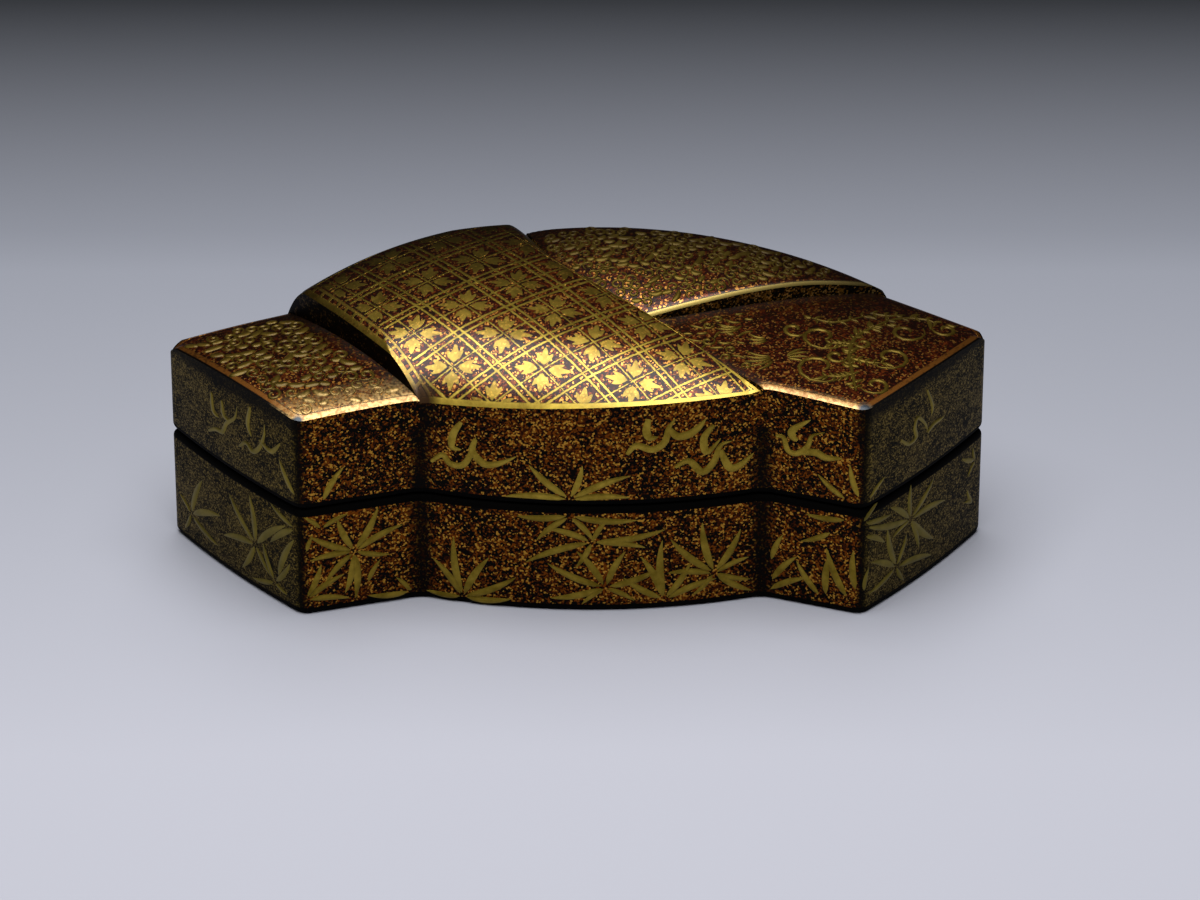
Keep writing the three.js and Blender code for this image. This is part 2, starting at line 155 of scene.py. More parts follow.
def put_mesh(name, points, faces, paints, groups=None, attributes=None, sharp=35.0):
    """A mesh object from points in millimetres; groups gives each face's number in paints."""
    mesh = bpy.data.meshes.new(name)
    mesh.from_pydata((np.asarray(points) * MM).tolist(), [], [list(map(int, f)) for f in faces])
    for paint in paints:
        mesh.materials.append(paint)
    if groups is not None:
        mesh.polygons.foreach_set("material_index", np.asarray(groups, np.int32))
    for key, values in (attributes or {}).items():
        mesh.attributes.new(key, "FLOAT", "POINT").data.foreach_set("value", np.asarray(values, np.float32))
    mesh.shade_smooth()
    mesh.set_sharp_from_angle(angle=math.radians(sharp))
    mesh.update()
    thing = bpy.data.objects.new(name, mesh)
    bpy.context.scene.collection.objects.link(thing)
    return thing


def colour(code):
    """Linear colour of an sRGB hex value."""
    parts = [int(code[k:k + 2], 16) / 255 for k in (1, 3, 5)]
    return tuple(c / 12.92 if c <= 0.04045 else ((c + 0.055) / 1.055) ** 2.4 for c in parts) + (1.0,)


def node(tree, kind, *inputs, out=0, at=None, **settings):
    """Adds a shader node with its settings and gives back one of its outputs. Inputs fill its sockets
    in order, or by name or number in at. Each is a value, a hex colour or another node's output. A
    Mix of colours has its share at socket 0, its colours at 6 and 7, and its result at output 2."""
    made = tree.nodes.new("ShaderNode" + kind)
    for key, value in settings.items():
        setattr(made, key, value)
    for key, value in {**dict(enumerate(inputs)), **(at or {})}.items():
        if isinstance(value, bpy.types.NodeSocket):
            tree.links.new(value, made.inputs[key])
        else:
            made.inputs[key].default_value = colour(value) if isinstance(value, str) else value
    return made.outputs[out] if made.outputs else made


def finish(name, surface):
    """A material whose shader gets the socket values that surface gives for the material's nodes."""
    made = bpy.data.materials.new(name)
    made.use_nodes = True
    made.node_tree.nodes.clear()
    shader = node(made.node_tree, "BsdfPrincipled", at=surface(made.node_tree))
    node(made.node_tree, "OutputMaterial", shader)
    return made


# Nashiji: gold flakes strewn into clear lacquer over a dark ground, polished flat and glossy, so that
# the wall glints in grains at every depth. Real flakes are 0.1 to 0.3 mm across, and finer on the cut
# ends. They are drawn at 0.21 mm, and at 0.15 mm on the ends, because the render shows no finer ones.
FLAKE, END_FLAKE = 0.21, 0.15
FLAKE_CLUMP, CLUMP_STRENGTH = 1.1, 1.3
FLAKE_CLOUD, CLOUD_STRENGTH = 6.0, 1.15
WARM_FROM, WARM_TO, GOLD_FROM, GOLD_TO = 0.36, 0.42, 0.74, 0.84
DEEP_METAL, BRIGHT_METAL = 0.3, 0.95
WEAR_AND_SHADE_FROM, WEAR_AND_SHADE_TO, WEAR_AND_SHADE_DARK = 0.10, 0.80, 0.92
EDGE_SOFT = 0.05


def flakes(tree, size, bare_share, ground, deep, warm, gold):
    """Each cell of a Voronoi pattern is one flake: its random value picks bare ground, a deep brown
    flake, a warm one or a bright one near the surface. Slow noise thins the flakes and crowds them
    in clumps. Gives back the colour and the share of metal."""
    where = node(tree, "TexCoord", out="Object")
    cell = node(tree, "TexVoronoi", at={"Vector": where, "Scale": 1 / (size * MM)},
                out="Color")
    picked = node(tree, "SeparateColor", cell)
    second = picked.node.outputs[1]
    level = picked
    for reach, strength in ((FLAKE_CLUMP, CLUMP_STRENGTH), (FLAKE_CLOUD, CLOUD_STRENGTH)):
        cloud = node(tree, "TexNoise", at={"Vector": where, "Scale": 1 / (reach * MM), "Detail": 2.0})
        cloud = node(tree, "Math", cloud, strength, -strength / 2, operation="MULTIPLY_ADD")
        level = node(tree, "Math", level, cloud, operation="ADD")
    is_flake = node(tree, "MapRange", level, bare_share, bare_share + EDGE_SOFT)
    is_warm = node(tree, "MapRange", second, WARM_FROM, WARM_TO)
    is_gold = node(tree, "MapRange", second, GOLD_FROM, GOLD_TO)
    skin = node(tree, "Mix", at={0: is_warm, 6: deep, 7: warm}, out=2, data_type="RGBA")
    skin = node(tree, "Mix", at={0: is_gold, 6: skin, 7: gold}, out=2, data_type="RGBA")
    skin = node(tree, "Mix", at={0: is_flake, 6: ground, 7: skin}, out=2, data_type="RGBA")
    metal = node(tree, "MapRange", second, WARM_FROM, GOLD_TO, DEEP_METAL, BRIGHT_METAL)
    return skin, node(tree, "Math", metal, is_flake, operation="MULTIPLY")


def wear_and_shade_dark(tree, skin):
    """Darker lacquer where the attribute says: wear at the corners, and a painted shade in the valleys."""
    wear_and_shade = node(tree, "Attribute", out="Fac", attribute_name="wear_and_shade")
    share = node(tree, "MapRange", wear_and_shade, WEAR_AND_SHADE_FROM, WEAR_AND_SHADE_TO, 0.0, WEAR_AND_SHADE_DARK)
    return node(tree, "Mix", at={0: share, 6: skin, 7: "#060403"}, out=2, data_type="RGBA")


def side_surface(tree):
    """Front and back walls: warm orange and gold flakes, glossy, darker with wear at the corners
    and with a painted shade in the valleys.
    """
    skin, metal = flakes(tree, FLAKE, 0.42, "#060402", "#341404", "#6c3608", "#b0802e")
    return {"Base Color": wear_and_shade_dark(tree, skin), "Metallic": metal, "Roughness": 0.42,
            "Specular IOR Level": 0.03}


# A black painted shade covers the ends under the top's rolled edge, over these heights, which rise
# along x with the top's edge.
UNDER_EDGE_SHADE_FROM, UNDER_EDGE_SHADE_TO, UNDER_EDGE_SHADE = 24.6, 25.8, 0.88
EDGE_RISE = 0.017


def end_surface(tree):
    """Finer powder in duller olive colours, which paint the sheen of these walls seen at a slant,
    with a black painted shade under the top's edge, which is higher on the right.
    """
    skin, metal = flakes(tree, END_FLAKE, 0.34, "#0e0b03", "#2a2008", "#4a3c12", "#746028")
    where = node(tree, "TexCoord", out="Object")
    along = node(tree, "SeparateXYZ", where)
    level = node(tree, "Math", along, -EDGE_RISE, along.node.outputs[2], operation="MULTIPLY_ADD")
    share = node(tree, "MapRange", level, UNDER_EDGE_SHADE_FROM * MM, UNDER_EDGE_SHADE_TO * MM, 0.0,
                 UNDER_EDGE_SHADE)
    skin = node(tree, "Mix", at={0: share, 6: wear_and_shade_dark(tree, skin), 7: "#060403"}, out=2,
                data_type="RGBA")
    bright = node(tree, "Math", 1.0, share, operation="SUBTRACT")
    metal = node(tree, "Math", metal, bright, operation="MULTIPLY")
    return {"Base Color": skin, "Metallic": metal, "Roughness": 0.50, "Specular IOR Level": 0.03}


def step_surface(tree):
    """Steps between the top boards: sparse flakes, hardly polished, on a dark ground that is a painted
    shade of these steps.
    """
    skin, metal = flakes(tree, FLAKE, 0.56, "#080703", "#2a1a08", "#74521c", "#d8b468")
    return {"Base Color": skin, "Metallic": metal, "Roughness": 0.45, "Specular IOR Level": 0.05}


def shaded_step_surface(tree):
    """The band's left step, almost bare black: a painted shade on this upright step."""
    skin, metal = flakes(tree, FLAKE, 0.88, "#050302", "#1c1006", "#3c2a10", "#5c4a24")
    return {"Base Color": skin, "Metallic": metal, "Roughness": 0.45, "Specular IOR Level": 0.04}


RUB_CLOUD = 10 / 3


def black_surface(tree):
    """Black of the rounded mouth and foot edges, scuffed matt in soft clouds. At the mouths it is black
    lacquer that also paints the shade of the seam, and at the foot a painted shade on the table.
    """
    where = node(tree, "TexCoord", out="Object")
    cloud = node(tree, "TexNoise", at={"Vector": where, "Scale": 1 / (RUB_CLOUD * MM), "Detail": 3.0})
    skin = node(tree, "Mix", at={0: cloud, 6: "#010101", 7: "#040302"}, out=2, data_type="RGBA")
    return {"Base Color": skin, "Roughness": 0.7, "Specular IOR Level": 0.03}


def inner_surface(tree):
    """Inside and lip, which aren't seen: taken to be the same nashiji, browner, with a clear gloss."""
    skin, metal = flakes(tree, FLAKE, 0.62, "#1a120c", "#3a2414", "#5a3a1c", "#8a6f3a")
    return {"Base Color": skin, "Metallic": metal, "Roughness": 0.35, "Coat Weight": 0.3,
            "Coat Roughness": 0.15}


side_lacquer = finish("nashiji_lacquer_sides", side_surface)
end_lacquer = finish("nashiji_lacquer_cut_ends", end_surface)
step_lacquer = finish("nashiji_lacquer_steps", step_surface)
shaded_step_lacquer = finish("step_lacquer_in_painted_shade", shaded_step_surface)
black_lacquer_and_shade = finish("black_lacquer_and_shade_edge", black_surface)
inner_lacquer = finish("nashiji_lacquer_inside", inner_surface)
WALL_PAINTS = (side_lacquer, black_lacquer_and_shade, inner_lacquer, end_lacquer, step_lacquer, shaded_step_lacquer)
SIDE_PAINT, BLACK_PAINT, INNER_PAINT, END_PAINT, STEP_PAINT, SHADED_STEP_PAINT = range(6)
# Corners where wear darkens the wall, and valleys with a painted shade, each with its reach in mm.
OUTER_CORNERS = [(LEFT_FRONT, 1.0), (RIGHT_END, 0.9)]
SHADED_VALLEYS = [(FRONT, 2.1), (RIGHT_FRONT, 2.0)]


def wear_and_shade_share(x, y, places):
    """1 at the given corners, falling to 0 at each one's distance."""
    reach = [1 - np.hypot(x - OUTLINE_SIDES[k][0, 0], y - OUTLINE_SIDES[k][0, 1]) / width
             for k, width in places]
    return np.clip(np.max(reach, axis=0), 0, 1)


def rounded_edge(inset, height, deep, tall, upwards):
    """Quarter ellipse between an upright side and a level face, as (inset, height) pairs."""
    turn = np.linspace(0, math.pi / 2, ROUND_STEPS + 1)
    sign = 1.0 if upwards else -1.0
    return [(inset + deep * (1 - math.cos(a)), height + sign * tall * math.sin(a)) for a in turn]


def wall_skin(name, section, row_paints, body, replaced):
    """A closed (inset, height) section carried round the whole box, with a paint for each row."""
    rows = np.stack([ring(inset, height) for inset, height in section])
    count, around = rows.shape[:2]
    faces = grid_faces(count, around, wrap_rows=True, wrap_columns=True)
    side_of = np.repeat(np.arange(8), [len(s) - 1 for s in OUTLINE_SIDES])
    groups = np.repeat(np.asarray(row_paints), around).reshape(count, around)
    at_end = np.isin(side_of, (LEFT_END, RIGHT_END))[None, :]
    groups = np.where((groups == SIDE_PAINT) & at_end, END_PAINT, groups)
    # Darker where the corners wear, and in the valleys as a painted shade.
    wear_and_shade = wear_and_shade_share(rows[..., 0] + PLAN_MIDDLE[0], rows[..., 1] + PLAN_MIDDLE[1], OUTER_CORNERS + SHADED_VALLEYS)
    thing = put_mesh(name, rows.reshape(-1, 3), faces, WALL_PAINTS, groups.ravel(), {"wear_and_shade": wear_and_shade.ravel()})
    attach(thing, body)
    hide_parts(*replaced)


# Black foot and mouth rows: a painted shade at the foot, black lacquer and painted shade at the mouth.
foot = rounded_edge(0.0, FOOT_TALL, FOOT_DEEP, FOOT_TALL, False)[::-1]
mouth = rounded_edge(0.0, SEAM_Z - MOUTH_TALL, MOUTH_DEEP, MOUTH_TALL, True)
base_section = foot + mouth + [(BASE_WALL, SEAM_Z), (BASE_WALL, 0.0)]
base_paints = ([BLACK_PAINT] * (len(foot) - 1) + [SIDE_PAINT] + [BLACK_PAINT] * len(mouth)
               + [INNER_PAINT, BLACK_PAINT])
wall_skin("base_lacquer_skin", base_section, base_paints, "base", ["base_wall_" + s for s in SIDES])

# Floor and lip: the floor board, and the thin lining strips that stand up over the mouth as the lip,
# glued to the inside of the walls, with a rounded top edge. Both wear the inside lacquer.
LIP_THICK, LIP_RISE, LIP_CROWN, LIP_STEPS = 1.1, 3.2, 0.4, 8
floor_board = bpy.data.objects["base_floor"]
floor_board.data.materials.clear()
floor_board.data.materials.append(inner_lacquer)
lip_shoulder = SEAM_Z + LIP_RISE - LIP_CROWN
lip_turn = np.linspace(0, math.pi, LIP_STEPS + 1)
lip_edge = [(BASE_WALL + LIP_THICK * (1 - math.cos(a)) / 2, lip_shoulder + LIP_CROWN * math.sin(a))
            for a in lip_turn]
lip_section = [(BASE_WALL, FLOOR_THICK)] + lip_edge + [(BASE_WALL + LIP_THICK, FLOOR_THICK)]
wall_skin("lip_lacquer_skin", lip_section, [INNER_PAINT] * len(lip_section), "base",
          ["lip_" + s for s in SIDES])

# Lid sides: the lid's boards under their skin, up to where the carved top boards sit on them.
# A hair's gap stays open over the base's mouth, and both rounded mouths are black, which also paints
# the shade of the seam.
SEAM_GAP, LID_WALL, LID_WALL_TOP = 0.1, 2.1, 23.0
lid_foot = rounded_edge(0.0, SEAM_Z + SEAM_GAP + MOUTH_TALL, MOUTH_DEEP, MOUTH_TALL, False)[::-1]
lid_section = lid_foot + [(0.0, LID_WALL_TOP), (LID_WALL, LID_WALL_TOP), (LID_WALL, SEAM_Z + SEAM_GAP)]
lid_paints = [BLACK_PAINT] * (len(lid_foot) - 1) + [SIDE_PAINT, SIDE_PAINT, INNER_PAINT, BLACK_PAINT]
wall_skin("lid_side_lacquer_skin", lid_section, lid_paints, "lid", ["lid_wall_" + s for s in SIDES])

# Lid top: four carved boards, the two ends of the letter, the fold behind, and the band that lies
# over them. Each is a low dome whose outer edge rolls down to the side; red-brown nashiji covers
# them, with raised gold lines along their edges. A dome is its highest point, that point's place,
# its radii across and along, and its twist. The spots are what the band's right edge and the fold's
# front edge pass through.
BAND_DOME = (33.65, -8.5, 24.5, 100.0, 75.0, 0.0022)
FOLD_DOME = (32.9, 4.5, 27.6, 105.0, 25.0, 0.0036)
RIGHT_DOME = (29.85, -7.6, 28.7, 345.0, 124.0, 0.0029)
LEFT_DOME = (27.75, -21.2, 14.0, 155.0, 56.0, -0.0028)
UNDERSIDE_DOME = (26.0, 0.0, 17.0, 420.0, 60.0, 0.0)
BACK_PEAK_SHARE = 0.586
FOLD_START_SHARE = 0.333
LINE_STEPS = 48
BAND_SPOTS = [[9.7, 12.7], [1.1, 20.1], [-2.8, 25.0]]
FOLD_SPOTS = [[14.0, 17.9], [20.0, 20.2], [27.0, 22.9]]


def dome_height(dome, x, y):
    """Crown height less half the squared distance over each radius, less a twist across."""
    crown, mid_x, mid_y, across, along, twist = dome
    dx, dy = x - mid_x, y - mid_y
    return crown - dx ** 2 / (2 * across) - dy ** 2 / (2 * along) - twist * dx * dy


def near_line(line, x, y):
    """Distance from each point to a line of points, and the share along it of the nearest place."""
    p, q = line[:-1], line[1:]
    way = q - p
    length = np.hypot(way[:, 0], way[:, 1])
    flat = np.c_[np.ravel(x), np.ravel(y)]
    along = np.clip(((flat[:, None] - p) * way).sum(-1) / length ** 2, 0, 1)
    gap = np.linalg.norm(flat[:, None] - (p + way * along[..., None]), axis=-1)
    best = gap.argmin(1)
    rows = np.arange(len(flat))
    share = (best + along[rows, best]) / len(way)
    return gap[rows, best].reshape(np.shape(x)), share.reshape(np.shape(x))


def spline(points, steps=LINE_STEPS):
    """Smooth line through points: a uniform Catmull-Rom curve, as the solids use."""
    points = np.asarray(points, float)
    position = np.linspace(0, len(points) - 1, steps + 1)
    k = np.minimum(position.astype(int), len(points) - 2)
    t = (position - k)[:, None]
    p0, p1 = points[np.maximum(k - 1, 0)], points[k]
    p2, p3 = points[k + 1], points[np.minimum(k + 2, len(points) - 1)]
    v1, v2 = (p2 - p0) / 2, (p3 - p1) / 2
    return (2 * p1 - 2 * p2 + v1 + v2) * t ** 3 + (-3 * p1 + 3 * p2 - 2 * v1 - v2) * t ** 2 + v1 * t + p1


back_side = OUTLINE_SIDES[BACK]
LEFT_CORNER, LEFT_VALLEY = back_side[-1], OUTLINE_SIDES[FRONT][0]
RIGHT_CORNER, RIGHT_VALLEY = back_side[0], OUTLINE_SIDES[RIGHT_FRONT][0]
peak_index = round(BACK_PEAK_SHARE * (len(back_side) - 1))
BAND_RIGHT = spline([RIGHT_VALLEY, *BAND_SPOTS, back_side[peak_index]])
fold_start = round(len(BAND_RIGHT) * FOLD_START_SHARE)
FOLD_EDGE = spline([BAND_RIGHT[fold_start], *FOLD_SPOTS, RIGHT_CORNER])
BAND_LEFT = np.linspace(LEFT_CORNER, LEFT_VALLEY, LINE_STEPS + 1)

# Rolled edges, each a drop and a width in mm. A gain is what they grow by towards one end.
ROLL_SPREAD = 1.45
FRONT_DROP, FRONT_WIDTH = 3.9, 8.0
BACK_DROP, BACK_WIDTH, BACK_DROP_GAIN, BACK_WIDTH_GAIN, BACK_GAIN_FROM = 2.4, 2.0, 2.6, 2.8, 0.7
BAND_LEFT_DROP, BAND_LEFT_WIDTH = 0.65, 1.5
BAND_RIGHT_DROP, BAND_RIGHT_WIDTH, BAND_DROP_GAIN, BAND_WIDTH_GAIN = 0.45, 0.7, 2.4, 2.8
FOLD_BACK_DROP, FOLD_BACK_GAIN, FOLD_BACK_REACH, FOLD_BACK_WIDTH = 0.8, 1.2, 0.25, 2.2
FOLD_EDGE_DROP, FOLD_EDGE_WIDTH = 0.35, 0.7
FOLD_NOOK_DROP, FOLD_NOOK_WIDTH = 0.9, 6.0
END_ROLL, RIGHT_BACK_ROLL = (0.3, 1.4), (0.7, 1.8)
FOLD_TIP, RIGHT_TIP, LEFT_TIP = (1.55, 2.6), (1.7, 2.5), (1.5, 2.5)


def rolled(dome, edges):
    """Height of a top board: its dome, less a drop that grows with the cube of how far a point is
    inside each edge's roll. Each edge is (line, drop, width), both by the share along the line."""
    def height(x, y):
        drop = np.zeros(np.shape(x))
        for line, amount, width in edges:
            gap, share = near_line(line, x, y)
            inside = 1 - np.clip(gap / (ROLL_SPREAD * width(share)), 0, 1)
            drop = np.maximum(drop, amount(share) * inside ** 3)
        return dome_height(dome, x, y) - drop
    return height


def steady(amount):
    """The same amount all along a line."""
    return lambda share: amount + 0 * share


def outer_edge(side, drop, width):
    """An outer side of the box as an edge that is rolled evenly."""
    return OUTLINE_SIDES[side], steady(drop), steady(width)


def rounded_tip(corner, drop, width):
    """A corner that is rounded down more than the edges that meet there."""
    return np.array([corner, corner + 0.01]), steady(drop), steady(width)


def towards_corner(share):
    """0 up to where the back edge starts to fall away, then rising to 1 at the corner."""
    return np.clip((share - BACK_GAIN_FROM) / (1 - BACK_GAIN_FROM), 0, 1)


front_roll = (OUTLINE_SIDES[FRONT], lambda s: FRONT_DROP * (1 - s ** 2), steady(FRONT_WIDTH))
band_slope = rolled(BAND_DOME, [(front_roll[0][::6], *front_roll[1:])])
band_height = rolled(BAND_DOME, [
    front_roll,
    (back_side, lambda s: BACK_DROP + BACK_DROP_GAIN * towards_corner(s),
     lambda s: BACK_WIDTH + BACK_WIDTH_GAIN * towards_corner(s)),
    (BAND_LEFT, steady(BAND_LEFT_DROP), steady(BAND_LEFT_WIDTH)),
    (BAND_RIGHT, lambda s: BAND_RIGHT_DROP + BAND_DROP_GAIN * s ** 4,
     lambda s: BAND_RIGHT_WIDTH + BAND_WIDTH_GAIN * s ** 3)])
fold_height = rolled(FOLD_DOME, [
    (back_side, lambda s: FOLD_BACK_DROP + FOLD_BACK_GAIN * np.minimum(1, s / FOLD_BACK_REACH),
     steady(FOLD_BACK_WIDTH)),
    (FOLD_EDGE, steady(FOLD_EDGE_DROP), steady(FOLD_EDGE_WIDTH)),
    (BAND_RIGHT, lambda s: FOLD_NOOK_DROP * s ** 3, steady(FOLD_NOOK_WIDTH)),
    rounded_tip(RIGHT_CORNER, *FOLD_TIP)])
right_height = rolled(RIGHT_DOME, [
    outer_edge(RIGHT_FRONT, *END_ROLL), outer_edge(RIGHT_END, *END_ROLL),
    outer_edge(RIGHT_BACK, *RIGHT_BACK_ROLL), rounded_tip(OUTLINE_SIDES[RIGHT_BACK][0], *RIGHT_TIP)])
left_height = rolled(LEFT_DOME, [
    *[outer_edge(k, *END_ROLL) for k in (LEFT_BACK, LEFT_END, LEFT_FRONT)],
    rounded_tip(OUTLINE_SIDES[LEFT_END][0], *LEFT_TIP)])

# The band's lattice: diamonds of 6.5 by 6.8 mm, each side a double line, with a thin cross and four
# lobed petals in each. The attributes count diamonds, whole numbers lying on the double lines. They
# follow lengths on the surface, because the pattern was laid out on the curved board.
LATTICE_STEPS = (6.50, 6.77)
LATTICE_TURNS = (math.radians(-56.7), math.radians(41.8))
LATTICE_STARTS = (0.350, 0.935)
LATTICE_MIDDLE = (-5.0, 20.0)
LENGTH_STEPS = 24


def surface_length(height, x, y, axis):
    """Length over the surface from the lattice's middle along x or y, added up in short steps."""
    flat = [x, y]
    way = flat[axis] - LATTICE_MIDDLE[axis]
    length = 0.0
    for k in range(LENGTH_STEPS):
        pair = []
        for share in (k / LENGTH_STEPS, (k + 1) / LENGTH_STEPS):
            spot = list(flat)
            spot[axis] = LATTICE_MIDDLE[axis] + way * share
            pair.append(height(*spot))
        length = length + np.hypot(way / LENGTH_STEPS, pair[1] - pair[0])
    return length * np.sign(way)


def lattice_counts(x, y):
    """How many diamonds along each way a place of the band is from the lattice's start."""
    across = surface_length(lambda u, v: dome_height(BAND_DOME, u, v), x, y, 0)
    along = surface_length(band_slope, x, y, 1)
    return [start + (across * math.cos(turn) + along * math.sin(turn)) / pitch
            for start, turn, pitch in zip(LATTICE_STARTS, LATTICE_TURNS, LATTICE_STEPS)]


def evened(line, count):
    """A line's points spread anew by length, closer together towards its ends."""
    steps = np.r_[0, np.cumsum(np.linalg.norm(np.diff(line, axis=0), axis=1))]
    t = 0.5 - 0.5 * np.cos(math.pi * np.linspace(0, 1, count))
    return np.stack([np.interp(t * steps[-1], steps, line[:, k]) for k in range(2)], -1)


def patch(south, east, north, west, columns, rows):
    """Coons patch: points between four lines that share their ends. South and north run the same
    way, west and east run from south to north."""
    s, n = evened(south, columns)[None], evened(north, columns)[None]
    w, e = evened(west, rows)[:, None], evened(east, rows)[:, None]
    u = (0.5 - 0.5 * np.cos(math.pi * np.linspace(0, 1, columns)))[None, :, None]
    v = (0.5 - 0.5 * np.cos(math.pi * np.linspace(0, 1, rows)))[:, None, None]
    corners = (s[:, :1] * (1 - u) * (1 - v) + s[:, -1:] * u * (1 - v)
               + n[:, :1] * (1 - u) * v + n[:, -1:] * u * v)
    return s * (1 - v) + n * v + w * (1 - u) + e * u - corners


# Corners where wear darkens the tops, and front edges with a painted highlight, each with its reach.
TOP_CORNERS = [(LEFT_FRONT, 1.2), (RIGHT_END, 1.7)]
PAINTED_HIGHLIGHT_EDGES = [(LEFT_FRONT, 4.6), (RIGHT_FRONT, 1.2)]
UNDERSIDE_STEP = 0.5
NO_NOOK = 9


def painted_highlight_share(x, y):
    """1 along the two short front edges, where a painted highlight makes the gold pale, falling to 0."""
    return np.max([np.clip(1 - near_line(OUTLINE_SIDES[k], x, y)[0] / reach, 0, 1)
                   for k, reach in PAINTED_HIGHLIGHT_EDGES], axis=0)


def top_board(name, sides, height, paint, size, replaced, rims, plains, nooks, side_paints,
              wear_and_shade_places=TOP_CORNERS, has_lattice=False):
    """Closed board over a patch: rolled top, upright sides down to the lid's walls, hollow underside.
    Rims are the lines that carry a gold line, plains those with a plain edge, and nooks those where
    it meets a higher board. The attributes hold each point's distance from them, for the paint."""
    columns, rows = size
    plan = patch(*sides, columns, rows)
    x, y = plan[..., 0], plan[..., 1]
    top = np.stack([x - PLAN_MIDDLE[0], y - PLAN_MIDDLE[1], height(x, y)], -1)
    inside, _ = near_line(np.vstack([OUTLINE, OUTLINE[:1]]), x, y)
    step = np.clip((inside - LID_WALL) / UNDERSIDE_STEP, 0, 1)
    low = top.copy()
    low[..., 2] = LID_WALL_TOP + (dome_height(UNDERSIDE_DOME, x, y) - LID_WALL_TOP) * step
    count = columns * rows
    index = np.arange(count).reshape(rows, columns)
    loop = np.r_[index[0, :-1], index[:-1, -1], index[-1, :0:-1], index[:0:-1, 0]]
    after = np.roll(loop, -1)
    edges = np.stack([loop, loop + count, after + count, after], -1)
    faces = np.vstack([grid_faces(rows, columns), grid_faces(rows, columns, first=count)[:, ::-1], edges])
    edge_paint = np.repeat(side_paints, [columns - 1, rows - 1, columns - 1, rows - 1])
    inner = (rows - 1) * (columns - 1)
    groups = np.r_[np.full(inner, len(WALL_PAINTS)), np.full(inner, INNER_PAINT), edge_paint]
    rim = np.min([near_line(line, x, y)[0] for line in rims], axis=0)
    dash = near_line(BAND_LEFT, x, y)[1] * np.linalg.norm(LEFT_VALLEY - LEFT_CORNER)
    nook = np.min([near_line(line, x, y)[0] for line in nooks], axis=0) if nooks else rim * 0 + NO_NOOK
    plain = np.min([near_line(line, x, y)[0] for line in plains], axis=0)
    values = {"rim": rim, "dash": dash, "nook": nook, "plain": plain,
              # The pale front edges are a painted highlight.
              "painted_highlight": 0 * x if has_lattice else painted_highlight_share(x, y),
              # Dark corners are wear, and the band's dark left valley is a painted shade.
              "wear_and_shade": wear_and_shade_share(x, y, wear_and_shade_places), "back": near_line(back_side, x, y)[0]}
    if has_lattice:
        values["cell_i"], values["cell_j"] = lattice_counts(x, y)
    thing = put_mesh(name, np.vstack([top.reshape(-1, 3), low.reshape(-1, 3)]), faces,
                     WALL_PAINTS + (paint,), groups,
                     {key: np.tile(value.ravel(), 2) for key, value in values.items()})
    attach(thing, "lid")
    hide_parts(replaced)


# Top finishes: burnished gold powder over a red-brown nashiji with dense orange flakes, under clear
# lacquer that dulls the lamp to a soft sheen. Fine gold dust in the ground itself, GROUND_METAL, makes
# that sheen warm. Flakes are drawn at 0.22 mm, and the clouds in the powder are 2.4 mm across.
TOP_FLAKE = 0.22
GOLD_DARK, GOLD_LIGHT, GOLD_CLOUD = "#7c661c", "#c8aa42", 2.4
PAINTED_HIGHLIGHT_SPOT, PAINTED_HIGHLIGHT_LEAST, PAINTED_HIGHLIGHT_MOST, PAINTED_HIGHLIGHT_TOP = 0.4, 0.25, 1.25, 0.70
BACK_FROM, BACK_TO, BACK_DARK = 16.0, 2.0, 0.84
DUST_AND_SHADE_FROM, DUST_AND_SHADE_TO, DUST_AND_SHADE_SHARE, DUST_AND_SHADE_CLOUD = 1.7, 0.2, 0.7, 20 / 7
GROUND_METAL, FLAKE_METAL_GAIN = 0.6, 1.4
LINE_LIFT = 0.14


def gold_powder(tree):
    """Colour of burnished gold powder: soft clouds from olive to light gold."""
    where = node(tree, "TexCoord", out="Object")
    cloud = node(tree, "TexNoise", at={"Vector": where, "Scale": 1 / (GOLD_CLOUD * MM), "Detail": 5.0,
                                       "Roughness": 0.7})
    share = node(tree, "MapRange", cloud, 0.30, 0.70)
    return node(tree, "Mix", at={0: share, 6: GOLD_DARK, 7: GOLD_LIGHT}, out=2, data_type="RGBA")


def painted_highlight_pale(tree, skin, strength):
    """Paler gold where the attribute says, a painted highlight, mottled in small spots."""
    where = node(tree, "TexCoord", out="Object")
    spots = node(tree, "TexNoise", at={"Vector": where, "Scale": 1 / (PAINTED_HIGHLIGHT_SPOT * MM), "Detail": 2.0})
    spots = node(tree, "MapRange", spots, 0.38, 0.60, PAINTED_HIGHLIGHT_LEAST * strength, PAINTED_HIGHLIGHT_MOST * strength)
    share = node(tree, "Attribute", out="Fac", attribute_name="painted_highlight")
    share = node(tree, "Math", share, spots, operation="MULTIPLY")
    return node(tree, "Mix", at={0: share, 6: skin, 7: "#d2ac6c"}, out=2, data_type="RGBA")


def darker_back(tree, skin):
    """Darker towards the back side, as in the photograph: a painted shade where the light falls off."""
    back = node(tree, "Attribute", out="Fac", attribute_name="back")
    share = node(tree, "MapRange", back, BACK_FROM, BACK_TO, 0.0, BACK_DARK)
    return node(tree, "Mix", at={0: share, 6: skin, 7: "#120904"}, out=2, data_type="RGBA")


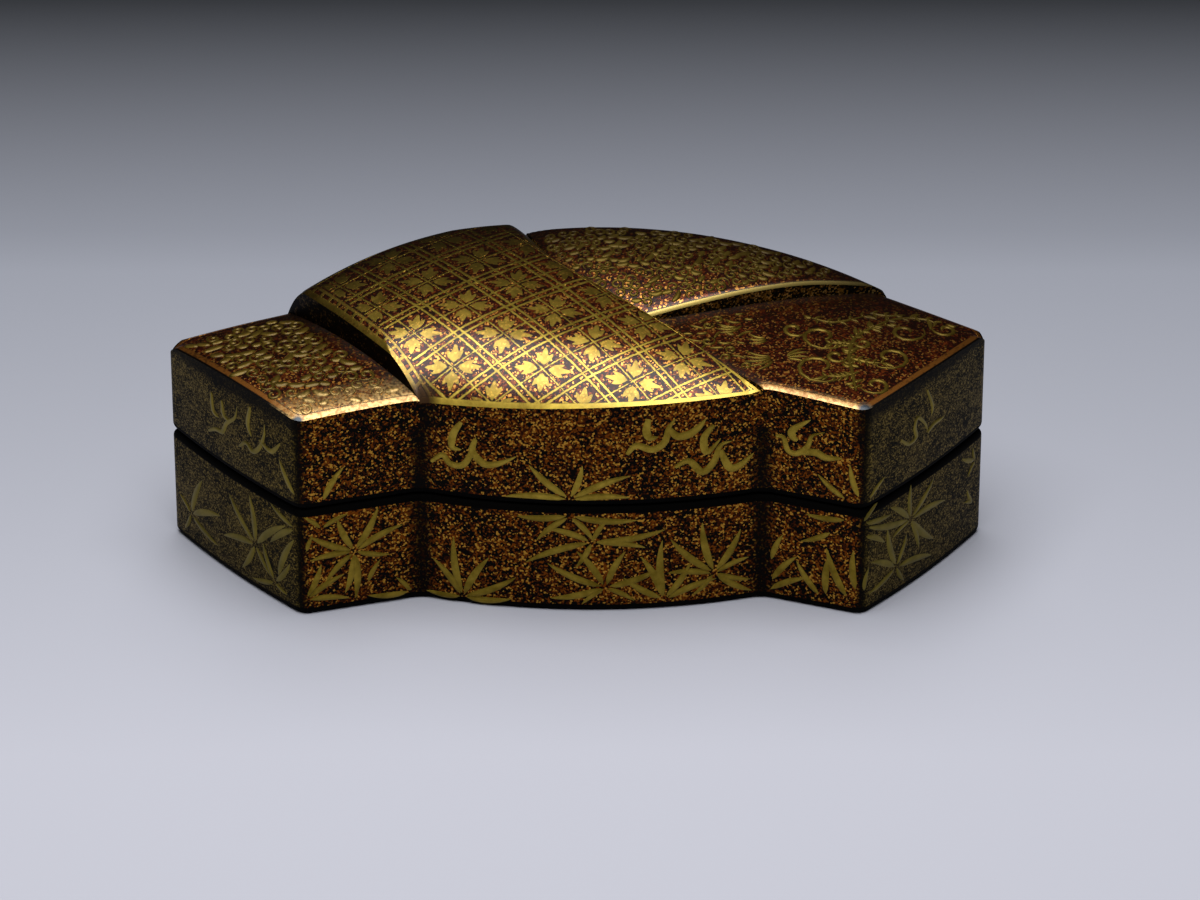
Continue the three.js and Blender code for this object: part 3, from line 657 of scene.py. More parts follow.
def top_finish(tree, line, metal_line, line_colour, wear_and_shade_colour="#252c33", nook_colour="#4a443c"):
    """Red-brown nashiji with a line of another colour over it, a little raised, and patchy grey dust
    where the board meets a higher one; with the fold's dark nook colour it is a painted shade there."""
    skin, metal = flakes(tree, TOP_FLAKE, 0.37, "#1f0a03", "#380e05", "#682e0a", "#ce903e")
    nook = node(tree, "Attribute", out="Fac", attribute_name="nook")
    where = node(tree, "TexCoord", out="Object")
    patchy = node(tree, "TexNoise", at={"Vector": where, "Scale": 1 / (DUST_AND_SHADE_CLOUD * MM),
                                        "Detail": 4.0})
    dust_and_shade = node(tree, "MapRange", nook, DUST_AND_SHADE_FROM, DUST_AND_SHADE_TO, 0.0, DUST_AND_SHADE_SHARE)
    dust_and_shade = node(tree, "Math", dust_and_shade, patchy, operation="MULTIPLY")
    skin = node(tree, "Mix", at={0: dust_and_shade, 6: skin, 7: nook_colour}, out=2, data_type="RGBA")
    skin = node(tree, "Mix", at={0: line, 6: skin, 7: line_colour}, out=2, data_type="RGBA")
    skin = painted_highlight_pale(tree, skin, PAINTED_HIGHLIGHT_TOP)
    skin = darker_back(tree, skin)
    # Blue-grey wear at the ends' front corners, and a dark brown painted shade at the band's left valley.
    wear_and_shade = node(tree, "Attribute", out="Fac", attribute_name="wear_and_shade")
    wear_and_shade = node(tree, "MapRange", wear_and_shade, 0.30, 0.70)
    skin = node(tree, "Mix", at={0: wear_and_shade, 6: skin, 7: wear_and_shade_colour}, out=2, data_type="RGBA")
    metal = node(tree, "Math", metal, FLAKE_METAL_GAIN, operation="MULTIPLY", use_clamp=True)
    metal = node(tree, "Math", metal, GROUND_METAL, operation="MAXIMUM")
    metal = node(tree, "Math", metal, metal_line, operation="MAXIMUM")
    raised = node(tree, "Bump", at={"Strength": 1.0, "Distance": LINE_LIFT * MM, "Height": line})
    return {"Base Color": skin, "Metallic": metal, "Roughness": 0.42, "Specular IOR Level": 0.02,
            "Coat Weight": 0.48, "Coat Roughness": 0.26, "Normal": raised}


RIM_WIDE, RIM_METAL = 0.75, 0.8
RIM_SHADE_FROM, RIM_SHADE_TO = 0.24, 0.16
FOLD_LINE_WIDE = 0.40


def end_top_surface(tree):
    """A copper brown rim line 0.75 mm wide, whose outer 0.2 mm is black as a painted shade of the edge,
    except in front.
    """
    rim = node(tree, "Attribute", out="Fac", attribute_name="rim")
    line = node(tree, "MapRange", rim, RIM_WIDE + EDGE_SOFT, RIM_WIDE - EDGE_SOFT)
    edge = node(tree, "Attribute", out="Fac", attribute_name="plain")
    edge = node(tree, "MapRange", edge, RIM_SHADE_FROM, RIM_SHADE_TO)
    paint = node(tree, "Mix", at={0: edge, 6: "#7c4c1a", 7: "#0a0705"}, out=2, data_type="RGBA")
    metal = node(tree, "Math", line, RIM_METAL, operation="MULTIPLY")
    return top_finish(tree, line, metal, paint)


def fold_top_surface(tree):
    """A gold line 0.4 mm wide along the fold's front edge, in a paler gold that is a painted highlight."""
    rim = node(tree, "Attribute", out="Fac", attribute_name="rim")
    line = node(tree, "MapRange", rim, FOLD_LINE_WIDE + EDGE_SOFT, FOLD_LINE_WIDE - EDGE_SOFT)
    # On the fold, the dark colour beside the band is a painted shade.
    return top_finish(tree, line, line, "#baa258", nook_colour="#0e0703")


# The band's gold, in mm: the double line's halves and its strokes, the cross, the petals, and along
# the left edge a border with a groove of dashes. Covers are how much gold lies there.
LINE_HALF, DOUBLE_HALF, CROSS_HALF, CROSS_COVER = 0.16, 0.40, 0.11, 0.95
PETAL_REACH, PETAL_LOBE, PETAL_FALL, PETAL_CLEAR, PETAL_COVER = 2.60, 0.38, 4.4, 0.34, 0.68
POWDER_EDGE, POWDER_GRAIN = 0.12, 0.35
BORDER, BORDER_COVER, PLAIN_BORDER = 1.5, 0.55, 0.45
GROOVE_FROM, GROOVE_TO, DASH_PITCH, DASH_FROM, DASH_TO = 0.26, 0.18, 0.75, 0.16, 0.22
OUTSIDE_FROM, OUTSIDE_TO = BORDER - 0.25, BORDER - 0.15
BAND_METAL_GAIN = 1.6


def band_top_surface(tree):
    """Gold lattice, by distance in mm from the nearest double line and from the diamond's middle. A
    petal fans out between two arms of the cross, to an outer edge with three lobes, the middle one
    longest: its reach is a cosine of 16 times the turn from the diagonal, less that turn's square."""
    where = node(tree, "TexCoord", out="Object")
    powder = node(tree, "TexNoise", at={"Vector": where, "Scale": 1 / (POWDER_GRAIN * MM),
                                        "Detail": 1.0})
    powder = node(tree, "Math", powder, 2 * POWDER_EDGE, -POWDER_EDGE, operation="MULTIPLY_ADD")
    middles = []
    lines = []
    for name, pitch in zip(("cell_i", "cell_j"), LATTICE_STEPS):
        count = node(tree, "Attribute", out="Fac", attribute_name=name)
        off = node(tree, "Math", count, 0.5, operation="PINGPONG")
        off = node(tree, "Math", off, pitch, operation="MULTIPLY")
        from_pair = node(tree, "Math", off, DOUBLE_HALF, operation="SUBTRACT")
        from_pair = node(tree, "Math", from_pair, operation="ABSOLUTE")
        from_pair = node(tree, "Math", from_pair, powder, operation="ADD")
        lines.append(node(tree, "MapRange", from_pair, LINE_HALF + EDGE_SOFT, LINE_HALF - EDGE_SOFT))
        middle = node(tree, "Math", pitch / 2, off, operation="SUBTRACT")
        from_cross = node(tree, "Math", middle, powder, operation="ADD")
        lines.append(node(tree, "MapRange", from_cross, CROSS_HALF + EDGE_SOFT, CROSS_HALF - EDGE_SOFT,
                          0.0, CROSS_COVER))
        middles.append(middle)
    turn = node(tree, "Math", *middles, operation="ARCTAN2")
    turn = node(tree, "Math", turn, math.pi / 4, operation="SUBTRACT")
    lobes = node(tree, "Math", turn, 16.0, operation="MULTIPLY")
    lobes = node(tree, "Math", lobes, operation="COSINE")
    reach = node(tree, "Math", lobes, PETAL_LOBE, PETAL_REACH, operation="MULTIPLY_ADD")
    fall = node(tree, "Math", turn, turn, operation="MULTIPLY")
    reach = node(tree, "Math", fall, -PETAL_FALL, reach, operation="MULTIPLY_ADD")
    both = node(tree, "CombineXYZ", *middles, 0.0)
    away = node(tree, "VectorMath", both, out="Value", operation="LENGTH")
    inside = node(tree, "Math", reach, away, operation="SUBTRACT")
    for middle in middles:
        clear = node(tree, "Math", middle, PETAL_CLEAR, operation="SUBTRACT")
        inside = node(tree, "Math", inside, clear, operation="MINIMUM")
    inside = node(tree, "Math", inside, powder, operation="ADD")
    gold = node(tree, "MapRange", inside, -EDGE_SOFT, EDGE_SOFT, 0.0, PETAL_COVER)
    for line in lines:
        gold = node(tree, "Math", gold, line, operation="MAXIMUM")
    rim = node(tree, "Attribute", out="Fac", attribute_name="rim")
    dash = node(tree, "Attribute", out="Fac", attribute_name="dash")
    groove = node(tree, "Math", rim, BORDER / 2, operation="SUBTRACT")
    groove = node(tree, "Math", groove, operation="ABSOLUTE")
    groove = node(tree, "MapRange", groove, GROOVE_FROM, GROOVE_TO)
    dash = node(tree, "Math", dash, DASH_PITCH, operation="PINGPONG")
    dash = node(tree, "MapRange", dash, DASH_FROM, DASH_TO)
    groove = node(tree, "Math", groove, dash, operation="MULTIPLY")
    outside = node(tree, "MapRange", rim, OUTSIDE_FROM, OUTSIDE_TO)
    groove = node(tree, "Math", groove, outside, operation="MAXIMUM")
    strip = node(tree, "MapRange", groove, 0.0, 1.0, BORDER_COVER, 0.0)
    in_border = node(tree, "MapRange", rim, BORDER + EDGE_SOFT, BORDER - EDGE_SOFT)
    gold = node(tree, "Mix", at={0: in_border, 2: gold, 3: strip}, data_type="FLOAT")
    plain = node(tree, "Attribute", out="Fac", attribute_name="plain")
    plain = node(tree, "MapRange", plain, PLAIN_BORDER + EDGE_SOFT, PLAIN_BORDER - EDGE_SOFT)
    gold = node(tree, "Math", gold, plain, operation="MAXIMUM")
    metal = node(tree, "Math", gold, BAND_METAL_GAIN, operation="MULTIPLY", use_clamp=True)
    return top_finish(tree, gold, metal, gold_powder(tree), "#38240f")


end_top_lacquer = finish("red_nashiji_with_gold_rim", end_top_surface)
fold_top_lacquer = finish("red_nashiji_with_gold_edge", fold_top_surface)
band_top_lacquer = finish("gold_lattice_lacquer", band_top_surface)

# The four boards. The fold's patch needs four sides, so a short piece of its back line is the second.
FOLD_BLUNT = 3
# The band darkens at its left front valley as a painted shade.
BAND_VALLEY_SHADE = [(FRONT, 3.4)]
LEFT_GRID, BAND_GRID, FOLD_GRID, RIGHT_GRID = (80, 100), (150, 150), (130, 80), (100, 120)
top_board("left_end_top", (OUTLINE_SIDES[LEFT_FRONT], BAND_LEFT[::-1], OUTLINE_SIDES[LEFT_BACK][::-1],
                           OUTLINE_SIDES[LEFT_END][::-1]), left_height, end_top_lacquer, LEFT_GRID,
          "lid_top_left_end", [OUTLINE_SIDES[k] for k in (LEFT_BACK, LEFT_END, LEFT_FRONT)],
          [OUTLINE_SIDES[k] for k in (LEFT_BACK, LEFT_END)], [BAND_LEFT],
          [SIDE_PAINT, STEP_PAINT, SIDE_PAINT, END_PAINT])
top_board("band_top", (OUTLINE_SIDES[FRONT], BAND_RIGHT, back_side[peak_index:][::-1], BAND_LEFT[::-1]),
          band_height, band_top_lacquer, BAND_GRID, "lid_top_band", [BAND_LEFT],
          [OUTLINE_SIDES[FRONT], BAND_RIGHT], [],
          [SIDE_PAINT, STEP_PAINT, SIDE_PAINT, SHADED_STEP_PAINT], BAND_VALLEY_SHADE, has_lattice=True)
top_board("back_fold_top", (FOLD_EDGE, back_side[:FOLD_BLUNT + 1],
                            back_side[FOLD_BLUNT:peak_index + 1][::-1], BAND_RIGHT[fold_start:]),
          fold_height, fold_top_lacquer, FOLD_GRID, "lid_top_back_fold", [FOLD_EDGE], [back_side],
          [BAND_RIGHT[fold_start:]], [STEP_PAINT, SIDE_PAINT, SIDE_PAINT, STEP_PAINT])
top_board("right_end_top", (OUTLINE_SIDES[RIGHT_FRONT], OUTLINE_SIDES[RIGHT_END],
                            OUTLINE_SIDES[RIGHT_BACK][::-1],
                            np.vstack([BAND_RIGHT[:fold_start + 1], FOLD_EDGE[1:]])),
          right_height, end_top_lacquer, RIGHT_GRID, "lid_top_right_end",
          [OUTLINE_SIDES[k] for k in (RIGHT_FRONT, RIGHT_END, RIGHT_BACK)],
          [OUTLINE_SIDES[k] for k in (RIGHT_END, RIGHT_BACK)],
          [BAND_RIGHT[:fold_start + 1], FOLD_EDGE], [SIDE_PAINT, END_PAINT, SIDE_PAINT, STEP_PAINT])

# Camera: a long lens that looks down on the front of the box at 32 degrees, as the photograph's does.
# The places of the ornament were read in the photograph and are cast back through this camera.
VIEW_DOWN = math.radians(32.0)
VIEW_DISTANCE = 782.0
VIEW_AIM = np.array([2.57, -1.82, 12.69])
PHOTO_SIZE = (1200, 900)
PIXELS_PER_MM = 8.75
SENSOR_WIDTH = 36.0
CLIP_NEAR, CLIP_FAR = 50.0, 10000.0
VIEW_ACROSS = np.array([1.0, 0.0, 0.0])
VIEW_UP = np.array([0.0, math.sin(VIEW_DOWN), math.cos(VIEW_DOWN)])
VIEW_AWAY = np.array([0.0, math.cos(VIEW_DOWN), -math.sin(VIEW_DOWN)])
VIEW_PLACE = VIEW_AIM - VIEW_AWAY * VIEW_DISTANCE
camera_data = bpy.data.cameras.new("camera")
camera = bpy.data.objects.new("camera", camera_data)
bpy.context.scene.collection.objects.link(camera)
camera_data.sensor_width = SENSOR_WIDTH
camera_data.lens = SENSOR_WIDTH * VIEW_DISTANCE * PIXELS_PER_MM / PHOTO_SIZE[0]
camera_data.clip_start, camera_data.clip_end = CLIP_NEAR * MM, CLIP_FAR * MM
camera.location = tuple(VIEW_PLACE * MM)
camera.rotation_euler = (math.pi / 2 - VIEW_DOWN, 0.0, 0.0)
bpy.context.scene.camera = camera

# Raised ornament on the walls: bamboo grass on the base and cranes over it on the lid, built up with
# lacquer and charcoal and dusted with gold. Their places are pixels of the photograph, read from
# four parts of it that were enlarged: each window is its corner in the photograph and its zoom.
WINDOWS = {"left": (170, 330, 4.0), "front": (420, 395, 3.4), "right": (755, 330, 4.0),
           "right_top": (670, 285, 4.5)}
LOOP = np.vstack([OUTLINE, OUTLINE[:1]])
LOOP_LENGTH = np.r_[0, np.cumsum(np.linalg.norm(np.diff(LOOP, axis=0), axis=1))]
loop_way = np.roll(OUTLINE, -1, 0) - np.roll(OUTLINE, 1, 0)
loop_out = np.c_[loop_way[:, 1], -loop_way[:, 0]] / np.linalg.norm(loop_way, axis=1)[:, None]
LOOP_OUT = np.vstack([loop_out, loop_out[:1]])
# A stroke stands up by its relief and its foot lies just under the surface. Its section is shares of
# its half width and of its rise. A leaf is cut off short of the centre that its spray spreads from.
# What lies within END_REACH of a cut end is on it, and what is ON_TOP over the walls is on the tops.
RELIEF, RELIEF_FOOT, RISE_SHARE = 0.13, 0.03, 0.6
SECTION_OFFSETS = np.array([-1.0, -0.62, 0.0, 0.62, 1.0])
SECTION_LIFTS = np.array([0.0, 0.8, 1.0, 0.8, 0.0])
END_REACH, ON_TOP = 0.25, 2
LEAF_STEPS, LEAF_PEAK, LEAF_LEAST, STROKE_LEAST = 9, 0.408, 0.04, 0.05
LEAF_BEND_SHARE, LEAF_GAP_SHARE, LEAF_GAP = 0.05, 0.07, 0.4
LEAF_NARROW, LEAF_GROWTH_SHARE, LEAF_WIDE = 0.18, 0.05, 0.50
CRANE_FULL, CRANE_BLUNT_SHARE = 1.15, 0.12


def view_rays(window, points):
    """Directions from the camera through places in an enlarged window of the photograph."""
    left, top, zoom = WINDOWS[window]
    pixel = np.array([left, top]) + np.asarray(points, float) / zoom
    reach = VIEW_DISTANCE * PIXELS_PER_MM
    across = (pixel[:, :1] - PHOTO_SIZE[0] / 2) / reach
    up = (PHOTO_SIZE[1] / 2 - pixel[:, 1:]) / reach
    return VIEW_AWAY + across * VIEW_ACROSS + up * VIEW_UP


def wall_spots(window, points):
    """Where view rays first meet the upright sides: length round the outline, and height."""
    rays = view_rays(window, points)
    start = VIEW_PLACE[:2] + PLAN_MIDDLE
    from_start = LOOP - start
    side = from_start[None, :, 0] * rays[:, 1:2] - from_start[None, :, 1] * rays[:, :1]
    share = side[:, :-1] / (side[:, :-1] - side[:, 1:] + 1e-12)
    crosses = side[:, :-1] * side[:, 1:] <= 0
    spot = LOOP[None, :-1] + (LOOP[1:] - LOOP[:-1])[None] * share[..., None]
    reach = (spot[..., 1] - start[1]) / rays[:, 1:2]
    best = np.where(crosses, reach, np.inf).argmin(1)
    rows = np.arange(len(rays))
    length = LOOP_LENGTH[best] + share[rows, best] * (LOOP_LENGTH[best + 1] - LOOP_LENGTH[best])
    return np.c_[length, VIEW_PLACE[2] + reach[rows, best] * rays[:, 2]]


def on_wall(flat, lift):
    """Place on the upright side from length round the outline, height, and lift outwards."""
    length = flat[..., 0] % LOOP_LENGTH[-1]
    spot = [np.interp(length, LOOP_LENGTH, LOOP[:, k]) - PLAN_MIDDLE[k] for k in range(2)]
    out = np.stack([np.interp(length, LOOP_LENGTH, LOOP_OUT[:, k]) for k in range(2)], -1)
    out /= np.linalg.norm(out, axis=-1, keepdims=True)
    return np.stack([spot[0] + out[..., 0] * lift, spot[1] + out[..., 1] * lift, flat[..., 1]], -1)


def leaf(root, tip, bend_share, half):
    """Blade of bamboo grass: a line bent by a parabola. Its width goes with the share along it to the
    power 0.55, times what is left to the power 0.8: widest at two fifths of it, pointed at its tip."""
    t = np.linspace(0, 1, LEAF_STEPS)[:, None]
    way = tip - root
    side = np.array([-way[1], way[0]])
    line = root + way * t + side * bend_share * 4 * t * (1 - t)
    width = half * (t ** 0.55 * (1 - t) ** 0.8)[:, 0] / LEAF_PEAK
    return line, np.maximum(width, LEAF_LEAST)


def brush(points, half, blunt_share=0.0):
    """Brush stroke through points: its width is a flattened half sine, full in its middle and thin at
    its ends, the first one blunter."""
    line = spline(points, 4 * (len(points) - 1) + 2)
    t = np.linspace(blunt_share, 1, len(line))
    return line, np.maximum(half * np.sin(math.pi * t) ** 0.7, STROKE_LEAST)


def relief(name, strokes, place, paint, body, tall=RELIEF):
    """One mesh of raised strokes. Each is a centre line with half widths; its section is a low crown
    of five points whose feet lie just under the surface, closed underneath and at both ends."""
    points, faces, total = [], [], 0
    corners = len(SECTION_OFFSETS)
    for line, half in strokes:
        way = np.gradient(line, axis=0)
        way /= np.linalg.norm(way, axis=1)[:, None] + 1e-9
        across = np.c_[-way[:, 1], way[:, 0]]
        flat = line[:, None] + across[:, None] * (half[:, None] * SECTION_OFFSETS)[..., None]
        rise = tall * np.minimum(1, half / (RISE_SHARE * half.max()))[:, None] * SECTION_LIFTS
        points.append(place(flat, rise - RELIEF_FOOT).reshape(-1, 3))
        faces += grid_faces(len(line), corners, wrap_columns=True, first=total)[:, ::-1].tolist()
        faces.append([total + k for k in range(corners)])
        total += corners * len(line)
        faces.append([total - 1 - k for k in range(corners)])
    points = np.vstack(points)
    x, y = points[:, 0] + PLAN_MIDDLE[0], points[:, 1] + PLAN_MIDDLE[1]
    # The strokes along the tops' front edges carry their painted highlight too.
    painted_highlight = painted_highlight_share(x, y) * (points[:, 2] > LID_WALL_TOP + ON_TOP)
    from_ends = np.min([near_line(OUTLINE_SIDES[k], x, y)[0] for k in (LEFT_END, RIGHT_END)], axis=0)
    values = {"painted_highlight": painted_highlight, "back": near_line(back_side, x, y)[0], "end": from_ends < END_REACH}
    thing = put_mesh(name, points, faces, (paint,), attributes=values, sharp=60.0)
    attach(thing, body)


def spray(window, centre, tips):
    """Leaves that spread from one centre, or one leaf from a root to its tip. Longer ones are wider,
    and they bend to one side and the other by turns."""
    spots = wall_spots(window, [centre] + list(tips))
    leaves = []
    for k, tip in enumerate(spots[1:]):
        length = np.linalg.norm(tip - spots[0])
        root = spots[0] + (tip - spots[0]) * min(LEAF_GAP_SHARE, LEAF_GAP / length)
        half = min(LEAF_WIDE, LEAF_NARROW + LEAF_GROWTH_SHARE * length)
        leaves.append(leaf(root, tip, LEAF_BEND_SHARE * (-1) ** k, half))
    return leaves


# Sprays: the window, the centre or root, and the tips of the leaves, in the window's own pixels.
BASE_SPRAYS = [
    ("front", (510, 412), [(325, 410), (745, 425), (592, 500), (395, 495)]),
    ("front", (585, 500), [(640, 422), (840, 455), (770, 520), (355, 570), (528, 588), (425, 452)]),
    ("front", (630, 655), [(430, 570), (530, 530), (700, 530), (812, 592), (440, 690), (550, 712),
                           (730, 700)]),
    ("front", (830, 695), [(825, 490), (750, 548), (690, 620), (920, 567), (1012, 622)]),
    ("front", (1000, 605), [(960, 430), (1092, 452), (850, 488), (838, 606), (1120, 550), (1125, 625),
                            (925, 682), (1130, 665)]),
    ("front", (145, 685), [(115, 478), (42, 552), (236, 552), (330, 618), (20, 663), (312, 694)]),
    ("left", (85, 735), [(130, 600), (38, 652), (205, 745), (195, 865), (60, 792)]),
    ("left", (342, 858), [(235, 650), (315, 655), (465, 783), (212, 820), (288, 950), (405, 985)]),
    ("left", (420, 1010), [(372, 850), (480, 935), (330, 990), (470, 1060)]),
    ("left", (430, 990), [(500, 835)]),
    ("left", (500, 795), [(400, 690), (400, 850)]),
    ("left", (738, 885), [(668, 752), (833, 705), (935, 777), (880, 896), (556, 825), (556, 927),
                          (742, 1075), (622, 1012), (700, 1055)]),
    ("left", (605, 795), [(712, 735), (535, 750)]),
    ("left", (545, 890), [(572, 820)]),
    ("left", (790, 1012), [(842, 918)]),
    ("left", (545, 1078), [(722, 1072), (605, 935), (700, 975)]),
    ("left", (965, 1045), [(790, 1062), (905, 990)]),
    ("right", (622, 757), [(625, 620), (717, 588), (762, 680), (540, 710), (440, 785), (550, 832),
                           (655, 872), (715, 835)]),
    ("right", (565, 948), [(530, 792), (607, 815), (707, 900), (462, 930), (450, 1058), (597, 1002)]),
    ("right", (435, 822), [(520, 850)]),
    ("right", (430, 770), [(490, 690), (548, 735)]),
    ("right", (370, 762), [(200, 735)]),
    ("right", (310, 808), [(180, 845)]),
    ("right", (60, 1005), [(170, 905)]),
    ("right", (50, 1040), [(208, 992)]),
    ("right", (262, 1068), [(165, 920)]),
    ("right", (282, 1070), [(300, 898)]),
    ("right", (372, 1080), [(285, 868)]),
    ("right", (402, 1052), [(395, 880)]),
    ("right", (62, 925), [(112, 818)]),
    ("right", (435, 1050), [(455, 950)]),
    ("right", (880, 520), [(828, 515), (850, 590), (872, 470)]),
    ("right", (870, 690), [(848, 640), (838, 690)]),
]
LID_SPRAYS = [
    ("front", (510, 355), [(368, 235), (552, 240), (722, 274), (282, 345), (718, 350)]),
    ("left", (505, 672), [(435, 512)]),
    ("left", (607, 692), [(697, 545)]),
    ("right", (368, 682), [(250, 575)]),
    ("right", (418, 678), [(380, 538)]),
    ("right", (455, 680), [(522, 585)]),
]
# Cranes in flight: neck and body, wings and trailing legs, each stroke with its half width in mm.
CRANES = [
    ("front", [(0.40, [(38, 226), (76, 203), (100, 232), (140, 240), (166, 214), (182, 168), (190, 142)]),
               (0.42, [(140, 92), (114, 130), (108, 176), (142, 186)]),
               (0.46, [(188, 150), (178, 190), (206, 226), (234, 238), (280, 230), (330, 208)])]),
    ("front", [(0.44, [(704, 202), (736, 172), (790, 186), (832, 160), (846, 112), (870, 80)]),
               (0.46, [(778, 82), (770, 118), (780, 146), (812, 142)]),
               (0.50, [(846, 112), (874, 140), (914, 134), (950, 108), (972, 80)])]),
    ("front", [(0.44, [(868, 246), (914, 224), (960, 262), (1000, 226), (1022, 172), (1062, 156)]),
               (0.44, [(1000, 102), (966, 146), (976, 196), (1024, 146)]),
               (0.48, [(1022, 186), (1052, 246), (1092, 236), (1136, 196)])]),
    ("right", [(0.36, [(84, 424), (114, 430), (130, 480), (168, 494), (210, 466), (228, 424), (282, 410)]),
               (0.46, [(170, 442), (148, 424), (156, 396), (226, 358)]),
               (0.48, [(168, 490), (240, 490), (286, 512), (352, 514)])]),
    ("right", [(0.30, [(584, 440), (616, 456), (645, 428), (640, 392), (652, 350), (682, 376), (692, 410)]),
               (0.30, [(690, 410), (716, 376), (757, 346)]),
               (0.24, [(690, 240), (710, 300), (706, 340)])]),
    ("left", [(0.30, [(155, 402), (182, 396), (210, 406), (226, 372), (258, 352), (268, 306)]),
              (0.30, [(165, 250), (172, 322), (196, 350)]),
              (0.30, [(206, 282), (214, 340), (240, 366)])]),
    ("left", [(0.30, [(278, 464), (304, 452), (330, 486), (358, 470), (376, 420), (376, 376)]),
              (0.32, [(320, 308), (310, 376), (326, 428)]),
              (0.32, [(358, 440), (404, 486), (442, 452)])]),
]
# Sides that aren't seen: the side that is copied, the blind one, and where on it, as shares.
BLIND_SIDES = ((FRONT, BACK, (-0.27, 0.27)), (LEFT_FRONT, RIGHT_BACK, (0.0,)),
               (LEFT_FRONT, LEFT_BACK, (0.0,)))


def side_span(side):
    """Lengths round the outline at which a side begins and ends."""
    first = sum(len(s) - 1 for s in OUTLINE_SIDES[:side])
    return LOOP_LENGTH[first], LOOP_LENGTH[first + len(OUTLINE_SIDES[side]) - 1]


def blind_copies(strokes):
    """The walls that the photograph doesn't show carry the seen front walls' strokes again."""
    copies = []
    for seen, blind, places in BLIND_SIDES:
        start, end = side_span(seen)
        first, last = side_span(blind)
        for place in places:
            shift = (first + last) / 2 + place * (last - first) - (start + end) / 2
            copies += [(line + [shift, 0.0], half) for line, half in strokes
                       if start < line[:, 0].min() and line[:, 0].max() < end]
    return copies


# Relief finishes: the same gold powder on raised lacquer, in the four tones that the photograph
# shows. Its grains scatter the lamp, so it gleams broadly and never mirrors. A tint darkens the gold:
# except on the lid's sides, that darker tone is a painted shade.
END_SHADE = 0.55
OLIVE_METAL_FROM, OLIVE_METAL_TO, OLIVE_METAL, OLIVE_METAL_BACK = 12.0, 1.0, 0.70, 0.15
PAINTED_HIGHLIGHT_RELIEF = 0.9


def tinted_gold(tree, share, tint):
    """Gold powder under a share of a dark tint."""
    return node(tree, "Mix", at={0: share, 6: gold_powder(tree), 7: tint}, out=2, data_type="RGBA")


def shade_on_ends(tree, skin):
    """Greyer, darker gold where the end attribute says: a painted shade and sheen of the cut ends."""
    share = node(tree, "Attribute", out="Fac", attribute_name="end")
    share = node(tree, "Math", share, END_SHADE, operation="MULTIPLY")
    return node(tree, "Mix", at={0: share, 6: skin, 7: "#5a562a"}, out=2, data_type="RGBA")


def gold_relief_surface(tree):
    """Gold relief on the lid's sides, the brightest of the four."""
    return {"Base Color": shade_on_ends(tree, tinted_gold(tree, 0.30, "#4a3c00")), "Metallic": 0.8,
            "Roughness": 0.42, "Specular IOR Level": 0.1}


def shaded_relief_surface(tree):
    """Gold relief on the base, a little darker and less bright than the lid's: a painted shade."""
    return {"Base Color": shade_on_ends(tree, tinted_gold(tree, 0.48, "#3c3000")), "Metallic": 0.75,
            "Roughness": 0.45, "Specular IOR Level": 0.05}


def brown_relief_surface(tree):
    """Gold relief on the left end: browner and darker by a tint, a painted shade, with a lacquer's gloss
    and a painted highlight along the front edge.
    """
    skin = painted_highlight_pale(tree, tinted_gold(tree, 0.82, "#2c1c07"), PAINTED_HIGHLIGHT_RELIEF)
    return {"Base Color": skin, "Metallic": 0.75, "Roughness": 0.48, "Specular IOR Level": 0.1,
            "Coat Weight": 0.2, "Coat Roughness": 0.2}


def olive_relief_surface(tree):
    """Gold relief on the back fold and the right end: olive, darkened by a tint and towards the back as
    painted shade.
    """
    skin = tinted_gold(tree, 0.76, "#281a06")
    back = node(tree, "Attribute", out="Fac", attribute_name="back")
    metal = node(tree, "MapRange", back, OLIVE_METAL_FROM, OLIVE_METAL_TO, OLIVE_METAL,
                 OLIVE_METAL_BACK)
    return {"Base Color": darker_back(tree, skin), "Metallic": metal, "Roughness": 0.42,
            "Specular IOR Level": 0.05, "Coat Weight": 0.06, "Coat Roughness": 0.25}


gold_relief = finish("raised_gold_powder", gold_relief_surface)
shaded_relief = finish("raised_gold_powder_in_painted_shade", shaded_relief_surface)
brown_relief = finish("raised_brown_gold_in_painted_shade", brown_relief_surface)
olive_relief = finish("raised_olive_gold_in_painted_shade", olive_relief_surface)
base_strokes = [stroke for entry in BASE_SPRAYS for stroke in spray(*entry)]
lid_strokes = [stroke for entry in LID_SPRAYS for stroke in spray(*entry)]
for window, crane in CRANES:
    lid_strokes += [brush(wall_spots(window, points), CRANE_FULL * half, CRANE_BLUNT_SHARE)
                    for half, points in crane]
relief("base_bamboo_grass", base_strokes + blind_copies(base_strokes), on_wall, shaded_relief, "base")
relief("lid_cranes_and_grass", lid_strokes + blind_copies(lid_strokes), on_wall, gold_relief, "lid")

# Raised ornament on the tops: small curls and lens-shaped leaves crowd the left end and the back
# fold, and the right end has scrolling vines with leaves and feather fans. They are built up and
# dusted as on the walls. A pitch is how far apart the crowd's places are, before each is moved.
TOP_RELIEF = 0.18
CURL_STEPS, CURL_REACH, CURL_TURNS, CURL_HALF, CURL_WIND_SHARE = 13, 0.98, 1.2, 0.22, 0.80
ROW_SHARE, JITTER, BARE_SHARE = 0.866, 0.28, 0.04
CURL_SMALL_SHARE, CURL_GROWTH_SHARE = 0.8, 0.35
LEAF_SHORT, LEAF_GROWTH, LEAF_ARCH_SHARE, LEAF_BLUNT_SHARE = 0.62, 0.65, 0.6, 0.05
LEAF_TURN_SHARE, LEAF_TURN_START = 0.25, -0.4
RIM_CLEAR = 1.1
LEFT_PITCH, LEFT_NOOK_CLEAR = 1.66, 1.6
FOLD_PITCH, FOLD_NOOK_CLEAR, FOLD_SIZE_SHARE = 1.30, 0.8, 0.80
